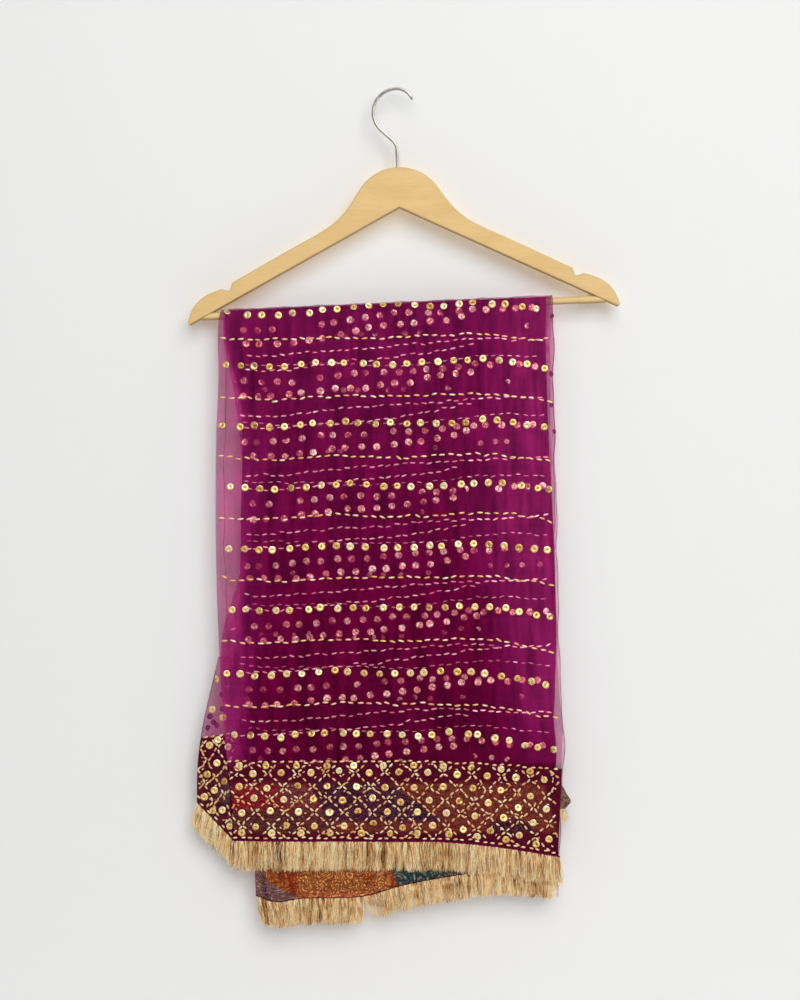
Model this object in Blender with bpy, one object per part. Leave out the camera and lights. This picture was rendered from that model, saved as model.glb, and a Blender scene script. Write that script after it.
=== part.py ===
"""A dupatta stole folded over the trouser bar of a wooden hanger.

Metres, +Z up. The origin is the hook's seat: the inside of its top, where a wall hook or a rail carries
the hanger. +X runs to the right along the hanger, and -Y is the side that shows. A height is given as
down, the distance below the seat.
"""

import math
from bisect import bisect_right
from collections import namedtuple

import bmesh
import bpy

# The hanger, in its own upright frame: out is the distance from its centre line.
HANGER_TILT = math.radians(2.53)
CENTRE_LINE = -0.00195
WOOD_THICKNESS = 0.012
WOOD_EDGE_ROUND = 0.0026
NECK_TOP = 0.0803
NECK_RADIUS = 0.0485
NECK_HALF_ANGLE = math.radians(57)
APEX_DOWN = 0.1217
TIP_OUT = 0.2234

WIRE_RADIUS = 0.0017
HOOK_RADIUS = 0.0248
HOOK_CLOSING = 0.004
HOOK_CLOSES_OVER = 50
HOOK_TIP_ANGLE = 38
HOOK_TIP_SHARE = 0.55
HOOK_LEAVES_ANGLE = 222
STEM_BEND_DOWN = 0.0558
STEM_BEND_RADIUS = 0.006
STEM_BEND_SHARE = 0.26
STEM_END_DOWN = 0.098

BAR_DOWN = 0.2248
BAR_RADIUS = 0.0039
BAR_END_RADIUS = 0.0043
BAR_END_OUT = 0.1814
BAR_HALF = 0.2085
BAR_SIDES = 24

# The cloth: each layer is a wall, and a layer's reach is how far its middle hangs from the bar's axis.
GAP = 0.0003
CLOTH = 0.0010
LEAVES = 0.0012
PLEAT = 0.0022
FRINGE = 0.0020
LAYER_STEP = CLOTH + GAP
REACH_LEAVES = BAR_RADIUS + GAP + LEAVES / 2
REACH_OUTER = REACH_LEAVES + LEAVES / 2 + GAP + CLOTH / 2
REACH_BORDER = REACH_OUTER - LAYER_STEP
REACH_INNER_BORDER = REACH_BORDER - LAYER_STEP
REACH_INNER = REACH_INNER_BORDER - LAYER_STEP

COLUMNS = 16
BORDER_TOP = 0.715
BORDER_SIDE_MARGIN = 0.003
LEAVES_FRONT_DOWN = 0.700
LEAVES_BACK_DOWN = 0.7462
BACK_DOWN = 0.7480
BACK_TURN_DOWN = 0.0030
BACK_TURN_ROWS = ((0.3, 0.8), (0.7, 1.0), (1.0, 1.0))
INNER_BACKING_TOP = 0.7740
INNER_STEP_BACK = 0.7650
PLEAT_TOP = 0.585
PLEAT_CREASE_REACH = 0.0060
PLEAT_OUTER_REACH = 0.0010


Outline = namedtuple("Outline", "out down")
NECK_CURVE = (
    Outline(0.0407, 0.1024),
    Outline(0.0480, 0.1133),
    Outline(0.0580, 0.1260),
    Outline(0.0700, 0.1363),
    Outline(0.0840, 0.1447),
    Outline(0.1050, 0.1553),
)
ARM_AND_NOTCH = (
    Outline(0.1270, 0.1665),
    Outline(0.1758, 0.1918),
    Outline(0.1780, 0.1998),
    Outline(0.1807, 0.1997),
)
SHOULDER_END = (
    Outline(0.1874, 0.1976),
    Outline(0.2042, 0.2042),
    Outline(0.2138, 0.2119),
    Outline(0.2200, 0.2214),
    Outline(TIP_OUT, 0.2315),
)
TIP_UNDERSIDE = Outline(0.2214, 0.2335)

Edges = namedtuple("Edges", "down left right")
FRONT_EDGES = (
    Edges(0.214, -0.1785, 0.1615),
    Edges(0.240, -0.1830, 0.1625),
    Edges(0.346, -0.1850, 0.1635),
    Edges(0.430, -0.1850, 0.1650),
    Edges(0.548, -0.1825, 0.1655),
    Edges(0.620, -0.1785, 0.1696),
    Edges(0.677, -0.1745, 0.1757),
    Edges(0.703, -0.1720, 0.1730),
    Edges(0.791, -0.1655, 0.1685),
)
LEAVES_EDGES = (
    Edges(0.214, -0.1700, 0.1580),
    Edges(0.242, -0.1705, 0.1590),
    Edges(0.270, -0.1775, 0.1595),
    Edges(0.560, -0.1783, 0.1600),
    Edges(0.620, -0.1750, 0.1600),
    Edges(0.760, -0.1640, 0.1600),
)
BACK_EDGES = (
    Edges(0.214, -0.1785, 0.1615),
    Edges(0.260, -0.1730, 0.1630),
    Edges(0.400, -0.1640, 0.1640),
    Edges(0.760, -0.1600, 0.1650),
)
INNER_EDGES = (
    Edges(0.700, -0.1480, 0.1610),
    Edges(0.780, -0.1468, 0.1620),
    Edges(0.840, -0.1440, 0.1640),
)
PLEAT_EDGE = (
    Edges(0.585, -0.1835, -0.1808),
    Edges(0.610, -0.1892, -0.1795),
    Edges(0.656, -0.1996, -0.1765),
    Edges(0.692, -0.2047, -0.1735),
    Edges(0.736, -0.2058, -0.1700),
    Edges(0.775, -0.2058, -0.1672),
)

Line = namedtuple("Line", "along down")
FRONT_HEM = (
    Line(-0.1700, 0.7740),
    Line(0.0041, 0.7750),
    Line(0.0455, 0.7752),
    Line(0.0962, 0.7793),
    Line(0.1690, 0.7906),
)
INNER_HEM = (
    Line(-0.1470, 0.8300),
    Line(-0.1293, 0.8370),
    Line(-0.0972, 0.8342),
    Line(-0.0290, 0.8310),
    Line(0.0041, 0.8216),
    Line(0.0455, 0.8133),
    Line(0.0962, 0.8062),
    Line(0.1640, 0.8100),
)
PLEAT_HEM = (
    Line(-0.2058, 0.7358),
    Line(-0.1672, 0.7748),
)

# The corner that peeks out at the right: its outline, then its tuft of fringe, left and right side.
CORNER = (
    Edges(0.7120, 0.1500, 0.1680),
    Edges(0.7245, 0.1500, 0.1752),
    Edges(0.7370, 0.1500, 0.1800),
    Edges(0.7430, 0.1500, 0.1740),
)
CORNER_TUFT = (
    Edges(0.7433, 0.1640, 0.1735),
    Edges(0.7533, 0.1665, 0.1800),
)

# A fringe: where it starts and ends along its hem, how long it is and how far its ends lean to the right.
Run = namedtuple("Run", "first last length lean columns")
FRINGE_FRONT = Run(-0.1650, 0.1685, 0.029, 0.0, COLUMNS)
FRINGE_INNER_LEFT = Run(-0.1450, -0.0280, 0.0265, -0.001, 6)
FRINGE_INNER_RIGHT = Run(-0.0100, 0.1640, 0.024, 0.003, 8)
FRINGE_PLEAT_LENGTHS = (0.0225, 0.0275)
FRINGE_PLEAT_LEAN = -0.0062

Fold = namedtuple("Fold", "along half_width depth starts")
FRONT_FOLDS = (
    Fold(-0.105, 0.080, 0.0020, 0.38),
    Fold(0.005, 0.070, 0.0006, 0.45),
    Fold(0.100, 0.070, 0.0016, 0.42),
    Fold(0.190, 0.070, 0.0022, 0.56),
)
BACK_FOLDS = (
    Fold(-0.080, 0.075, 0.0022, 0.40),
    Fold(0.045, 0.070, 0.0010, 0.36),
    Fold(0.140, 0.070, 0.0020, 0.46),
)
FOLD_RUN_IN = 0.25

Colour = namedtuple("Colour", "red green blue roughness metallic")
WOOD = Colour(0.71, 0.50, 0.24, 0.45, 0.0)
STEEL = Colour(0.60, 0.59, 0.56, 0.25, 1.0)
PURPLE = Colour(0.15, 0.01, 0.07, 0.55, 0.0)
DEEP_PURPLE = Colour(0.10, 0.005, 0.04, 0.60, 0.0)
BROCADE = Colour(0.30, 0.10, 0.03, 0.50, 0.0)
GOLD_THREAD = Colour(0.55, 0.36, 0.18, 0.50, 0.2)


def mix(first, second, share):
    return first + (second - first) * share


def read(table, key, value, at):
    """A column of a table at a place in its key column, on a smooth curve through the rows."""
    keys = [getattr(row, key) for row in table]
    values = [getattr(row, value) for row in table]
    last = len(keys) - 1
    at = min(max(at, keys[0]), keys[last])
    low = min(max(bisect_right(keys, at) - 1, 0), last - 1)

    def slope(index):
        before, after = max(index - 1, 0), min(index + 1, last)
        return (values[after] - values[before]) / (keys[after] - keys[before])

    span = keys[low + 1] - keys[low]
    t = (at - keys[low]) / span
    ease = t * t * (3 - 2 * t)
    lead_in = t * (1 - t) ** 2 * span * slope(low)
    lead_out = t * t * (t - 1) * span * slope(low + 1)
    return mix(values[low], values[low + 1], ease) + lead_in + lead_out


def smooth_through(table, steps):
    """Points on a smooth curve through a table's outline points."""
    places = [mix(table[0].out, table[-1].out, step / steps) for step in range(steps + 1)]
    return [(out, read(table, "out", "down", out)) for out in places]


def material_of(name, colour):
    material = bpy.data.materials.new(name)
    material.use_nodes = True
    shader = material.node_tree.nodes["Principled BSDF"]
    shader.inputs["Base Color"].default_value = (colour.red, colour.green, colour.blue, 1)
    shader.inputs["Roughness"].default_value = colour.roughness
    shader.inputs["Metallic"].default_value = colour.metallic
    return material


def add_object(name, data, colour=None, parent=None):
    obj = bpy.data.objects.new(name, data)
    bpy.context.scene.collection.objects.link(obj)
    obj.parent = parent
    if colour:
        data.materials.append(material_of(name, colour))
    return obj


def hide_cutter(obj):
    obj.hide_render = True
    obj.display_type = "WIRE"


def turned_mesh(name, profile, sides):
    """A closed turned shape along X, from a profile of (along, radius) rows."""
    mesh = bpy.data.meshes.new(name)
    points, faces = [], []
    for along, radius in profile:
        for side in range(sides):
            angle = 2 * math.pi * side / sides
            points.append((along, radius * math.cos(angle), radius * math.sin(angle)))
    for ring in range(len(profile) - 1):
        for side in range(sides):
            after = (side + 1) % sides
            start = ring * sides
            faces.append((start + side, start + after, start + sides + after, start + sides + side))
    faces.append(tuple(reversed(range(sides))))
    faces.append(tuple(range((len(profile) - 1) * sides, len(profile) * sides)))
    mesh.from_pydata(points, [], faces)
    recalculate(mesh)
    return mesh


def recalculate(mesh):
    shape = bmesh.new()
    shape.from_mesh(mesh)
    bmesh.ops.recalc_face_normals(shape, faces=shape.faces)
    shape.to_mesh(mesh)
    shape.free()


# Hanger


def half_outline():
    """The right half of the wooden body, from the top of its neck round to the apex below."""
    crown_steps = 12
    crown = []
    for step in range(crown_steps):
        angle = NECK_HALF_ANGLE * step / crown_steps
        crown.append((NECK_RADIUS * math.sin(angle), NECK_TOP + NECK_RADIUS * (1 - math.cos(angle))))
    neck = smooth_through(NECK_CURVE, 14)
    arm = [(row.out, row.down) for row in ARM_AND_NOTCH]
    shoulder = smooth_through(SHOULDER_END, 8)
    return crown + neck + arm + shoulder + [tuple(TIP_UNDERSIDE), (0, APEX_DOWN)]


def hanger_body(parent):
    right = half_outline()
    left = [(-out, down) for out, down in reversed(right[1:-1])]
    shape = bmesh.new()
    front = -WOOD_THICKNESS / 2
    corners = [shape.verts.new((CENTRE_LINE + out, front, -down)) for out, down in right + left]
    face = shape.faces.new(corners)
    grown = bmesh.ops.extrude_face_region(shape, geom=[face])
    moved = [item for item in grown["geom"] if isinstance(item, bmesh.types.BMVert)]
    bmesh.ops.translate(shape, verts=moved, vec=(0, WOOD_THICKNESS, 0))
    bmesh.ops.recalc_face_normals(shape, faces=shape.faces)
    mesh = bpy.data.meshes.new("hanger_body")
    shape.to_mesh(mesh)
    shape.free()
    body = add_object("hanger_body", mesh, WOOD, parent)
    bevel = body.modifiers.new("rounded edges", "BEVEL")
    bevel.width = WOOD_EDGE_ROUND
    bevel.segments = 2
    bevel.limit_method = "ANGLE"
    bevel.angle_limit = math.radians(60)
    for cutter in bar_sockets(parent) + [stem_socket(parent)]:
        cut = body.modifiers.new(cutter.name, "BOOLEAN")
        cut.operation = "DIFFERENCE"
        cut.object = cutter
    return body


def bar_sockets(parent):
    """Cutters for the blind holes that the bar's ends sit in."""
    radius = BAR_END_RADIUS + GAP
    cutters = []
    for side, name in ((-1, "bar_socket_left"), (1, "bar_socket_right")):
        inner = CENTRE_LINE + side * BAR_END_OUT
        outer = CENTRE_LINE + side * (BAR_HALF + GAP)
        profile = sorted(((inner, radius), (outer, radius)))
        cutter = add_object(name, turned_mesh(name, profile, BAR_SIDES), parent=parent)
        cutter.location.z = -BAR_DOWN
        hide_cutter(cutter)
        cutters.append(cutter)
    return cutters


def stem_socket(parent):
    """Cutter for the hole in the neck that the hook's stem sits in."""
    name = "stem_socket"
    radius = WIRE_RADIUS + GAP
    profile = ((0, radius), (STEM_END_DOWN + GAP - STEM_BEND_DOWN, radius))
    cutter = add_object(name, turned_mesh(name, profile, BAR_SIDES), parent=parent)
    cutter.rotation_euler.y = math.pi / 2
    cutter.location = (CENTRE_LINE, 0, -STEM_BEND_DOWN)
    hide_cutter(cutter)
    return cutter


def hanger_bar(parent):
    profile = (
        (-BAR_HALF, BAR_END_RADIUS),
        (-BAR_END_OUT, BAR_END_RADIUS),
        (-BAR_END_OUT, BAR_RADIUS),
        (BAR_END_OUT, BAR_RADIUS),
        (BAR_END_OUT, BAR_END_RADIUS),
        (BAR_HALF, BAR_END_RADIUS),
    )
    mesh = turned_mesh("hanger_bar", profile, BAR_SIDES)
    bar = add_object("hanger_bar", mesh, WOOD, parent)
    bar.location = (CENTRE_LINE, 0, -BAR_DOWN)
    mesh.shade_smooth()
    mesh.set_sharp_from_angle(angle=math.radians(30))
    return bar


def hook_route():
    """The wire's middle: a round crook that closes in at its tip, a straight run, a bend and the stem."""
    centre_down = HOOK_RADIUS - WIRE_RADIUS
    route = []
    crook_steps = 24
    for step in range(crook_steps + 1):
        angle = mix(HOOK_TIP_ANGLE, HOOK_LEAVES_ANGLE, step / crook_steps)
        closing = HOOK_CLOSING * (max(90 - angle, 0) / HOOK_CLOSES_OVER) ** 2
        radius = HOOK_RADIUS - closing
        turn = math.radians(angle)
        route.append((radius * math.cos(turn), centre_down - radius * math.sin(turn)))
    run_start = route[-1]
    bend = (CENTRE_LINE, STEM_BEND_DOWN)
    bend_before = (
        mix(bend[0], run_start[0], STEM_BEND_SHARE),
        mix(bend[1], run_start[1], STEM_BEND_SHARE),
    )
    bend_after = (CENTRE_LINE, STEM_BEND_DOWN + STEM_BEND_RADIUS)
    bend_steps = 4
    for step in range(bend_steps + 1):
        share = step / bend_steps
        first = [mix(bend_before[i], bend[i], share) for i in range(2)]
        second = [mix(bend[i], bend_after[i], share) for i in range(2)]
        route.append(tuple(mix(first[i], second[i], share) for i in range(2)))
    route.append((CENTRE_LINE, STEM_END_DOWN))
    return route


def hanger_hook(parent):
    curve = bpy.data.curves.new("hanger_hook", "CURVE")
    curve.dimensions = "3D"
    curve.bevel_depth = WIRE_RADIUS
    curve.bevel_resolution = 3
    curve.use_fill_caps = True
    route = hook_route()
    line = curve.splines.new("POLY")
    line.points.add(len(route) - 1)
    for point, (along, down) in zip(line.points, route):
        point.co = (along, 0, -down, 1)
    line.points[0].radius = HOOK_TIP_SHARE
    line.use_smooth = True
    return add_object("hanger_hook", curve, STEEL, parent)


# Cloth


def bar_down(along):
    """How far below the seat the tilted bar's axis is at this X."""
    slope = math.tan(HANGER_TILT)
    drop = BAR_DOWN * math.cos(HANGER_TILT)
    return drop - (along - BAR_DOWN * math.sin(HANGER_TILT)) * slope


def billow(folds, along, down):
    """How far the soft folds push the cloth out at this place."""
    total = 0
    for fold in folds:
        offset = abs(along - fold.along) / fold.half_width
        if offset < 1:
            run = min(max((down - fold.starts) / FOLD_RUN_IN, 0), 1)
            total += fold.depth * math.cos(offset * math.pi / 2) ** 2 * run * run * (3 - 2 * run)
    return total


def front_point(along, down, reach):
    return (along, -reach - billow(FRONT_FOLDS, along, down), -down)


def back_point(along, down, reach):
    return (along, reach + billow(BACK_FOLDS, along, down), -down)


def place_between(edges, down, across):
    left = read(edges, "down", "left", down)
    right = read(edges, "down", "right", down)
    return mix(left, right, across)


def fall_rows(point, reach, edges, top, hem, columns, count):
    """Rows of points down a fall. top and hem give a depth for each X."""
    rows = []
    for step in range(count + 1):
        share = step / count
        row = []
        for column in range(columns + 1):
            across = column / columns
            down = mix(top(0), hem(0), share)
            for _ in range(3):
                along = place_between(edges, down, across)
                down = mix(top(along), hem(along), share)
            row.append(point(along, down, reach))
        rows.append(row)
    return rows


def turn_rows(reach, edges, columns, count, first_angle, last_angle):
    """Rows over the bar. An angle of -90 is the front, 0 the top and 90 the back."""
    rows = []
    for step in range(count + 1):
        angle = math.radians(mix(first_angle, last_angle, step / count))
        row = []
        for column in range(columns + 1):
            level = bar_down(0) - reach * math.cos(angle)
            along = place_between(edges, level, column / columns)
            down = bar_down(along) - reach * math.cos(angle)
            row.append((along, reach * math.sin(angle), -down))
        rows.append(row)
    return rows


def cloth_wall(name, rows, thickness, colour):
    """A closed wall of even thickness whose middle surface runs through these rows of points."""
    columns = len(rows[0])
    points = [point for row in rows for point in row]
    faces = []
    for row in range(len(rows) - 1):
        for column in range(columns - 1):
            corner = row * columns + column
            faces.append((corner, corner + 1, corner + columns + 1, corner + columns))
    mesh = bpy.data.meshes.new(name)
    mesh.from_pydata(points, [], faces)
    mesh.shade_smooth()
    obj = add_object(name, mesh, colour)
    wall = obj.modifiers.new("thickness", "SOLIDIFY")
    wall.thickness = thickness
    wall.offset = 0
    wall.use_even_offset = True
    return obj


def at_depth(down):
    return lambda along: down


def front_hem(along):
    return read(FRONT_HEM, "along", "down", along)


def inner_hem(along):
    return read(INNER_HEM, "along", "down", along)


def stole_falls():
    """The outermost leaf: down the front to its hem, and down the back to the fold at mid-length."""
    columns, front_count, back_count, turn_count = COLUMNS, 18, 14, 4
    seam_angle = math.degrees(GAP / REACH_OUTER)
    turn = turn_rows(REACH_OUTER, FRONT_EDGES, columns, turn_count, -seam_angle, -90)
    fall = fall_rows(front_point, REACH_OUTER, FRONT_EDGES, bar_down, front_hem, columns, front_count)
    cloth_wall("front_fall", turn + fall[1:], CLOTH, PURPLE)

    turn = turn_rows(REACH_OUTER, BACK_EDGES, columns, turn_count, seam_angle, 90)
    fall = fall_rows(back_point, REACH_OUTER, BACK_EDGES, bar_down, at_depth(BACK_DOWN), columns, back_count)
    closing = []
    for inward, lower in BACK_TURN_ROWS:
        depth = BACK_DOWN + BACK_TURN_DOWN * lower
        reach = mix(REACH_OUTER, REACH_LEAVES - LEAVES, inward)
        places = [place_between(BACK_EDGES, BACK_DOWN, column / columns) for column in range(columns + 1)]
        closing.append([back_point(along, depth, reach) for along in places])
    cloth_wall("back_fall", turn + fall[1:] + closing, CLOTH, PURPLE)


def folded_leaves():
    """The leaves between the outermost one and the bar, as one wall from the front to the back."""
    columns, count, turn_count = COLUMNS, 14, 8
    front = fall_rows(
        front_point, REACH_LEAVES, LEAVES_EDGES, bar_down, at_depth(LEAVES_FRONT_DOWN), columns, count
    )
    turn = turn_rows(REACH_LEAVES, LEAVES_EDGES, columns, turn_count, -90, 90)
    back = fall_rows(
        back_point, REACH_LEAVES, LEAVES_EDGES, bar_down, at_depth(LEAVES_BACK_DOWN), columns, count
    )
    cloth_wall("folded_leaves", front[:0:-1] + turn + back[1:], LEAVES, DEEP_PURPLE)


def inner_point(along, down, reach):
    """The inner end lies behind its brocade backing, so it steps back where the backing starts."""
    share = min(max((down - INNER_STEP_BACK) / (INNER_BACKING_TOP - INNER_STEP_BACK - GAP), 0), 1)
    return front_point(along, down, mix(reach + LAYER_STEP, reach, share))


def ends_and_borders():
    """The lower end of the stole, and the brocade backing of both ends."""
    columns = COLUMNS
    upper = fall_rows(
        inner_point, REACH_INNER, INNER_EDGES, at_depth(LEAVES_FRONT_DOWN + GAP),
        at_depth(INNER_STEP_BACK), columns, 2,
    )
    lower = fall_rows(
        inner_point, REACH_INNER, INNER_EDGES, at_depth(INNER_BACKING_TOP - GAP), inner_hem, columns, 3
    )
    cloth_wall("inner_end", upper + lower, CLOTH, PURPLE)

    backing = fall_rows(
        front_point, REACH_INNER_BORDER, INNER_EDGES, at_depth(INNER_BACKING_TOP + CLOTH), inner_hem,
        columns, 3,
    )
    cloth_wall("inner_border", backing, CLOTH, BROCADE)

    narrowed = [
        Edges(row.down, row.left + BORDER_SIDE_MARGIN, row.right - BORDER_SIDE_MARGIN)
        for row in FRONT_EDGES
    ]
    backing = fall_rows(
        front_point, REACH_BORDER, narrowed, at_depth(BORDER_TOP), front_hem, columns, 4
    )
    cloth_wall("front_border", backing, CLOTH, BROCADE)


def pleat_point(across, down):
    """A point of the opened fold: its crease side is at the front fall, its outer fold is set back."""
    left = read(PLEAT_EDGE, "down", "left", down)
    right = read(PLEAT_EDGE, "down", "right", down) - GAP
    along = mix(left, right, across)
    reach = mix(PLEAT_OUTER_REACH, PLEAT_CREASE_REACH, across)
    return front_point(along, down, reach)


def left_pleat():
    columns, count = 5, 9
    rows = []
    for step in range(count + 1):
        row = []
        for column in range(columns + 1):
            across = column / columns
            hem = mix(PLEAT_HEM[0].down, PLEAT_HEM[1].down, across)
            row.append(pleat_point(across, mix(PLEAT_TOP, hem, step / count)))
        rows.append(row)
    cloth_wall("left_pleat", rows, PLEAT, PURPLE)


def right_corner():
    """The corner of a hidden leaf that reaches out past the front fall's right edge."""
    for name, table, colour in (("right_corner", CORNER, BROCADE), ("fringe_corner", CORNER_TUFT, GOLD_THREAD)):
        rows = []
        for row in table:
            rows.append([front_point(along, row.down, REACH_INNER) for along in (row.left, row.right)])
        cloth_wall(name, rows, CLOTH, colour)


def fringe_rows(hem, run, reach):
    """A fringe's reach: rows from just under a hem to the ends of its threads."""
    rows = []
    for share in (0, 0.5, 1):
        row = []
        for column in range(run.columns + 1):
            along = mix(run.first, run.last, column / run.columns)
            down = hem(along) + GAP + run.length * share
            row.append(front_point(along + run.lean * share, down, reach))
        rows.append(row)
    return rows


def fringes():
    reach = (REACH_OUTER + REACH_BORDER) / 2
    rows = fringe_rows(front_hem, FRINGE_FRONT, reach)
    cloth_wall("fringe_front", rows, FRINGE, GOLD_THREAD)

    reach = (REACH_INNER + REACH_INNER_BORDER) / 2
    rows = fringe_rows(inner_hem, FRINGE_INNER_LEFT, reach)
    cloth_wall("fringe_inner_left", rows, FRINGE, GOLD_THREAD)
    rows = fringe_rows(inner_hem, FRINGE_INNER_RIGHT, reach)
    cloth_wall("fringe_inner_right", rows, FRINGE, GOLD_THREAD)

    columns = 5
    rows = []
    for share in (0, 0.5, 1):
        row = []
        for column in range(columns + 1):
            across = column / columns
            hem = mix(PLEAT_HEM[0].down, PLEAT_HEM[1].down, across)
            along, y, _ = pleat_point(across, hem)
            length = mix(*FRINGE_PLEAT_LENGTHS, across) * share
            lean = FRINGE_PLEAT_LEAN * (1 - across) * share
            row.append((along + lean, y, -(hem + GAP + length)))
        rows.append(row)
    cloth_wall("fringe_pleat", rows, PLEAT, GOLD_THREAD)


def main():
    for obj in list(bpy.data.objects):
        bpy.data.objects.remove(obj)
    hang = add_object("hanger_hangs", None)
    hang.rotation_euler.y = -HANGER_TILT
    hanger_body(hang)
    hanger_bar(hang)
    hanger_hook(hang)
    stole_falls()
    folded_leaves()
    ends_and_borders()
    left_pleat()
    right_corner()
    fringes()


main()
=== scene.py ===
# %% [markdown]
# # A dupatta stole over a wooden hanger
# A dupatta is a long light stole. This one is sheer purple organza, sewn with rows of gold sequins and
# running stitch, and it ends in brocade borders and a gold thread fringe. It is folded end to end, then in
# three across its width, and it hangs over the bar of a clothes hanger.
#
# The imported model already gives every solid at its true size. This lesson dresses it: thin cloth on each
# cloth solid's form, trims sewn on that cloth, and a finish for every surface. All sizes are in metres,
# +Z is up, and the origin is the seat of the hook.

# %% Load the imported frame
import math
from collections import namedtuple

import bpy
import numpy as np
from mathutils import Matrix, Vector


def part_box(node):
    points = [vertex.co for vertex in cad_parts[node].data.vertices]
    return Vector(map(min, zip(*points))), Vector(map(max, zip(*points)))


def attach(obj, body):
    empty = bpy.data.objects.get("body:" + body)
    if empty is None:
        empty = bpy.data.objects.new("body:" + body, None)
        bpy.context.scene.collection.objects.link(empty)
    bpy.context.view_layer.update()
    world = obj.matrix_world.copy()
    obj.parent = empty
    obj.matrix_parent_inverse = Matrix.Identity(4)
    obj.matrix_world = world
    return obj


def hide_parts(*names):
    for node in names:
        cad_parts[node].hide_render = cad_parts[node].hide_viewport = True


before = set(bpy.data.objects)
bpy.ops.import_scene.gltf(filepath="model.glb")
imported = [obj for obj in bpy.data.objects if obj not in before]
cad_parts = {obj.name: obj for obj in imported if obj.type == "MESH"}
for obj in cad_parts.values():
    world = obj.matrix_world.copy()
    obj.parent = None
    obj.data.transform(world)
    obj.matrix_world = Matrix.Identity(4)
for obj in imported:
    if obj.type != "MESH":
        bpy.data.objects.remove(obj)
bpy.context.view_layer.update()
BODY = "root"
print(len(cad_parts), "packed nodes")

# %% [markdown]
# ## The camera
# A hanging garment is best looked at square on, from the height of its middle. A long lens two metres away
# keeps its sides upright. Blender lays the sensor's width along the longer side of the picture, so the
# lens follows from the height that has to fit.

# %% Set up the camera
PICTURE_MIDDLE = Vector((0.0041, 0.0, -0.4236))
PICTURE_HEIGHT = 1.034
CAMERA_DISTANCE = 2.0
SENSOR = 36.0

camera_data = bpy.data.cameras.new("front_camera")
camera_data.sensor_width = SENSOR
camera_data.lens = SENSOR * CAMERA_DISTANCE / PICTURE_HEIGHT
camera = bpy.data.objects.new("front_camera", camera_data)
camera.location = PICTURE_MIDDLE + Vector((0, -CAMERA_DISTANCE, 0))
camera.rotation_euler = (math.radians(90), 0, 0)
bpy.context.scene.collection.objects.link(camera)
bpy.context.scene.camera = camera
print("lens", round(camera_data.lens, 1), "mm")

# %% [markdown]
# ## Nodes in short calls
# A finish is a small network of shader nodes. A few helpers keep it readable. The first three start a
# material with a Principled shader, add a node with its sockets and settings filled in, and join two sockets.
# The others are short runs of nodes that most finishes need.

# %% Helpers for finishes
def new_finish(name, roughness, metallic=0.0):
    finish = bpy.data.materials.new(name)
    finish.use_nodes = True
    shader = finish.node_tree.nodes["Principled BSDF"]
    shader.inputs["Roughness"].default_value = roughness
    shader.inputs["Metallic"].default_value = metallic
    return finish, shader


def add_node(finish, kind, **values):
    """A shader node. Capitalised names are its sockets, lower case ones its settings."""
    node = finish.node_tree.nodes.new("ShaderNode" + kind)
    for name, value in values.items():
        if name[0].isupper():
            node.inputs[name.replace("_", " ")].default_value = value
        else:
            setattr(node, name, value)
    return node


def join(finish, source, target):
    finish.node_tree.links.new(source, target)


def worked_out(finish, operation, first, second=None, third=None):
    """The output of a Math node on sockets or plain numbers."""
    node = add_node(finish, "Math", operation=operation)
    for socket, value in zip(node.inputs, (first, second, third)):
        if isinstance(value, bpy.types.NodeSocket):
            join(finish, value, socket)
        elif value is not None:
            socket.default_value = value
    return node.outputs[0]


def ramp(finish, source, stops):
    """A colour ramp read by a socket, from (place, (red, green, blue)) stops."""
    node = add_node(finish, "ValToRGB")
    elements = node.color_ramp.elements
    while len(elements) < len(stops):
        elements.new(0.5)
    for element, (place, colour) in zip(elements, stops):
        element.position = place
        element.color = (*colour, 1)
    join(finish, source, node.inputs[0])
    return node.outputs[0]


def blended(finish, share, first, second, how="MIX"):
    """Two colours mixed. share, first and second are sockets or plain values."""
    node = add_node(finish, "Mix", data_type="RGBA", blend_type=how)
    for socket, value in ((node.inputs[0], share), (node.inputs[6], first), (node.inputs[7], second)):
        if isinstance(value, bpy.types.NodeSocket):
            join(finish, value, socket)
        elif isinstance(value, tuple):
            socket.default_value = (*value, 1)
        else:
            socket.default_value = value
    return node.outputs[2]


def object_place(finish, scale=(1, 1, 1)):
    """Object coordinates, stretched for a pattern."""
    place = add_node(finish, "TexCoord")
    mapping = add_node(finish, "Mapping", Scale=scale)
    join(finish, place.outputs["Object"], mapping.inputs["Vector"])
    return mapping.outputs[0]


def flat_place(finish, scale=(1, 1, 1)):
    """The cloth's own flat coordinates in metres, stretched for a pattern."""
    place = add_node(finish, "UVMap", uv_map="flat")
    mapping = add_node(finish, "Mapping", Scale=scale)
    join(finish, place.outputs[0], mapping.inputs["Vector"])
    return mapping.outputs[0]


def noise(finish, place, scale, detail, distortion=0.0):
    """A noise texture read at a place."""
    node = add_node(finish, "TexNoise", Scale=scale, Detail=detail, Distortion=distortion)
    join(finish, place, node.inputs["Vector"])
    return node.outputs[0]


def parts_of(finish, vector):
    """The X, Y and Z of a vector, as sockets."""
    node = add_node(finish, "SeparateXYZ")
    join(finish, vector, node.inputs[0])
    return node.outputs


def tone_of(finish, name):
    """The number that each point of a mesh carries under this name."""
    carried = add_node(finish, "Attribute", attribute_name=name)
    tone = add_node(finish, "SeparateColor")
    join(finish, carried.outputs["Color"], tone.inputs[0])
    return tone.outputs[0]


def uneven_gloss(finish, shader, source, change, start):
    """Roughness that follows a texture, from start at 0 to start + change at 1."""
    join(finish, worked_out(finish, "MULTIPLY_ADD", source, change, start), shader.inputs["Roughness"])


def raised(finish, shader, height, strength=0.12, distance=0.0002):
    """A bump that only catches the light. Without its two numbers it is as fine as grain or thread."""
    bump = add_node(finish, "Bump", Strength=strength, Distance=distance)
    join(finish, height, bump.inputs["Height"])
    join(finish, bump.outputs[0], shader.inputs["Normal"])


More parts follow.
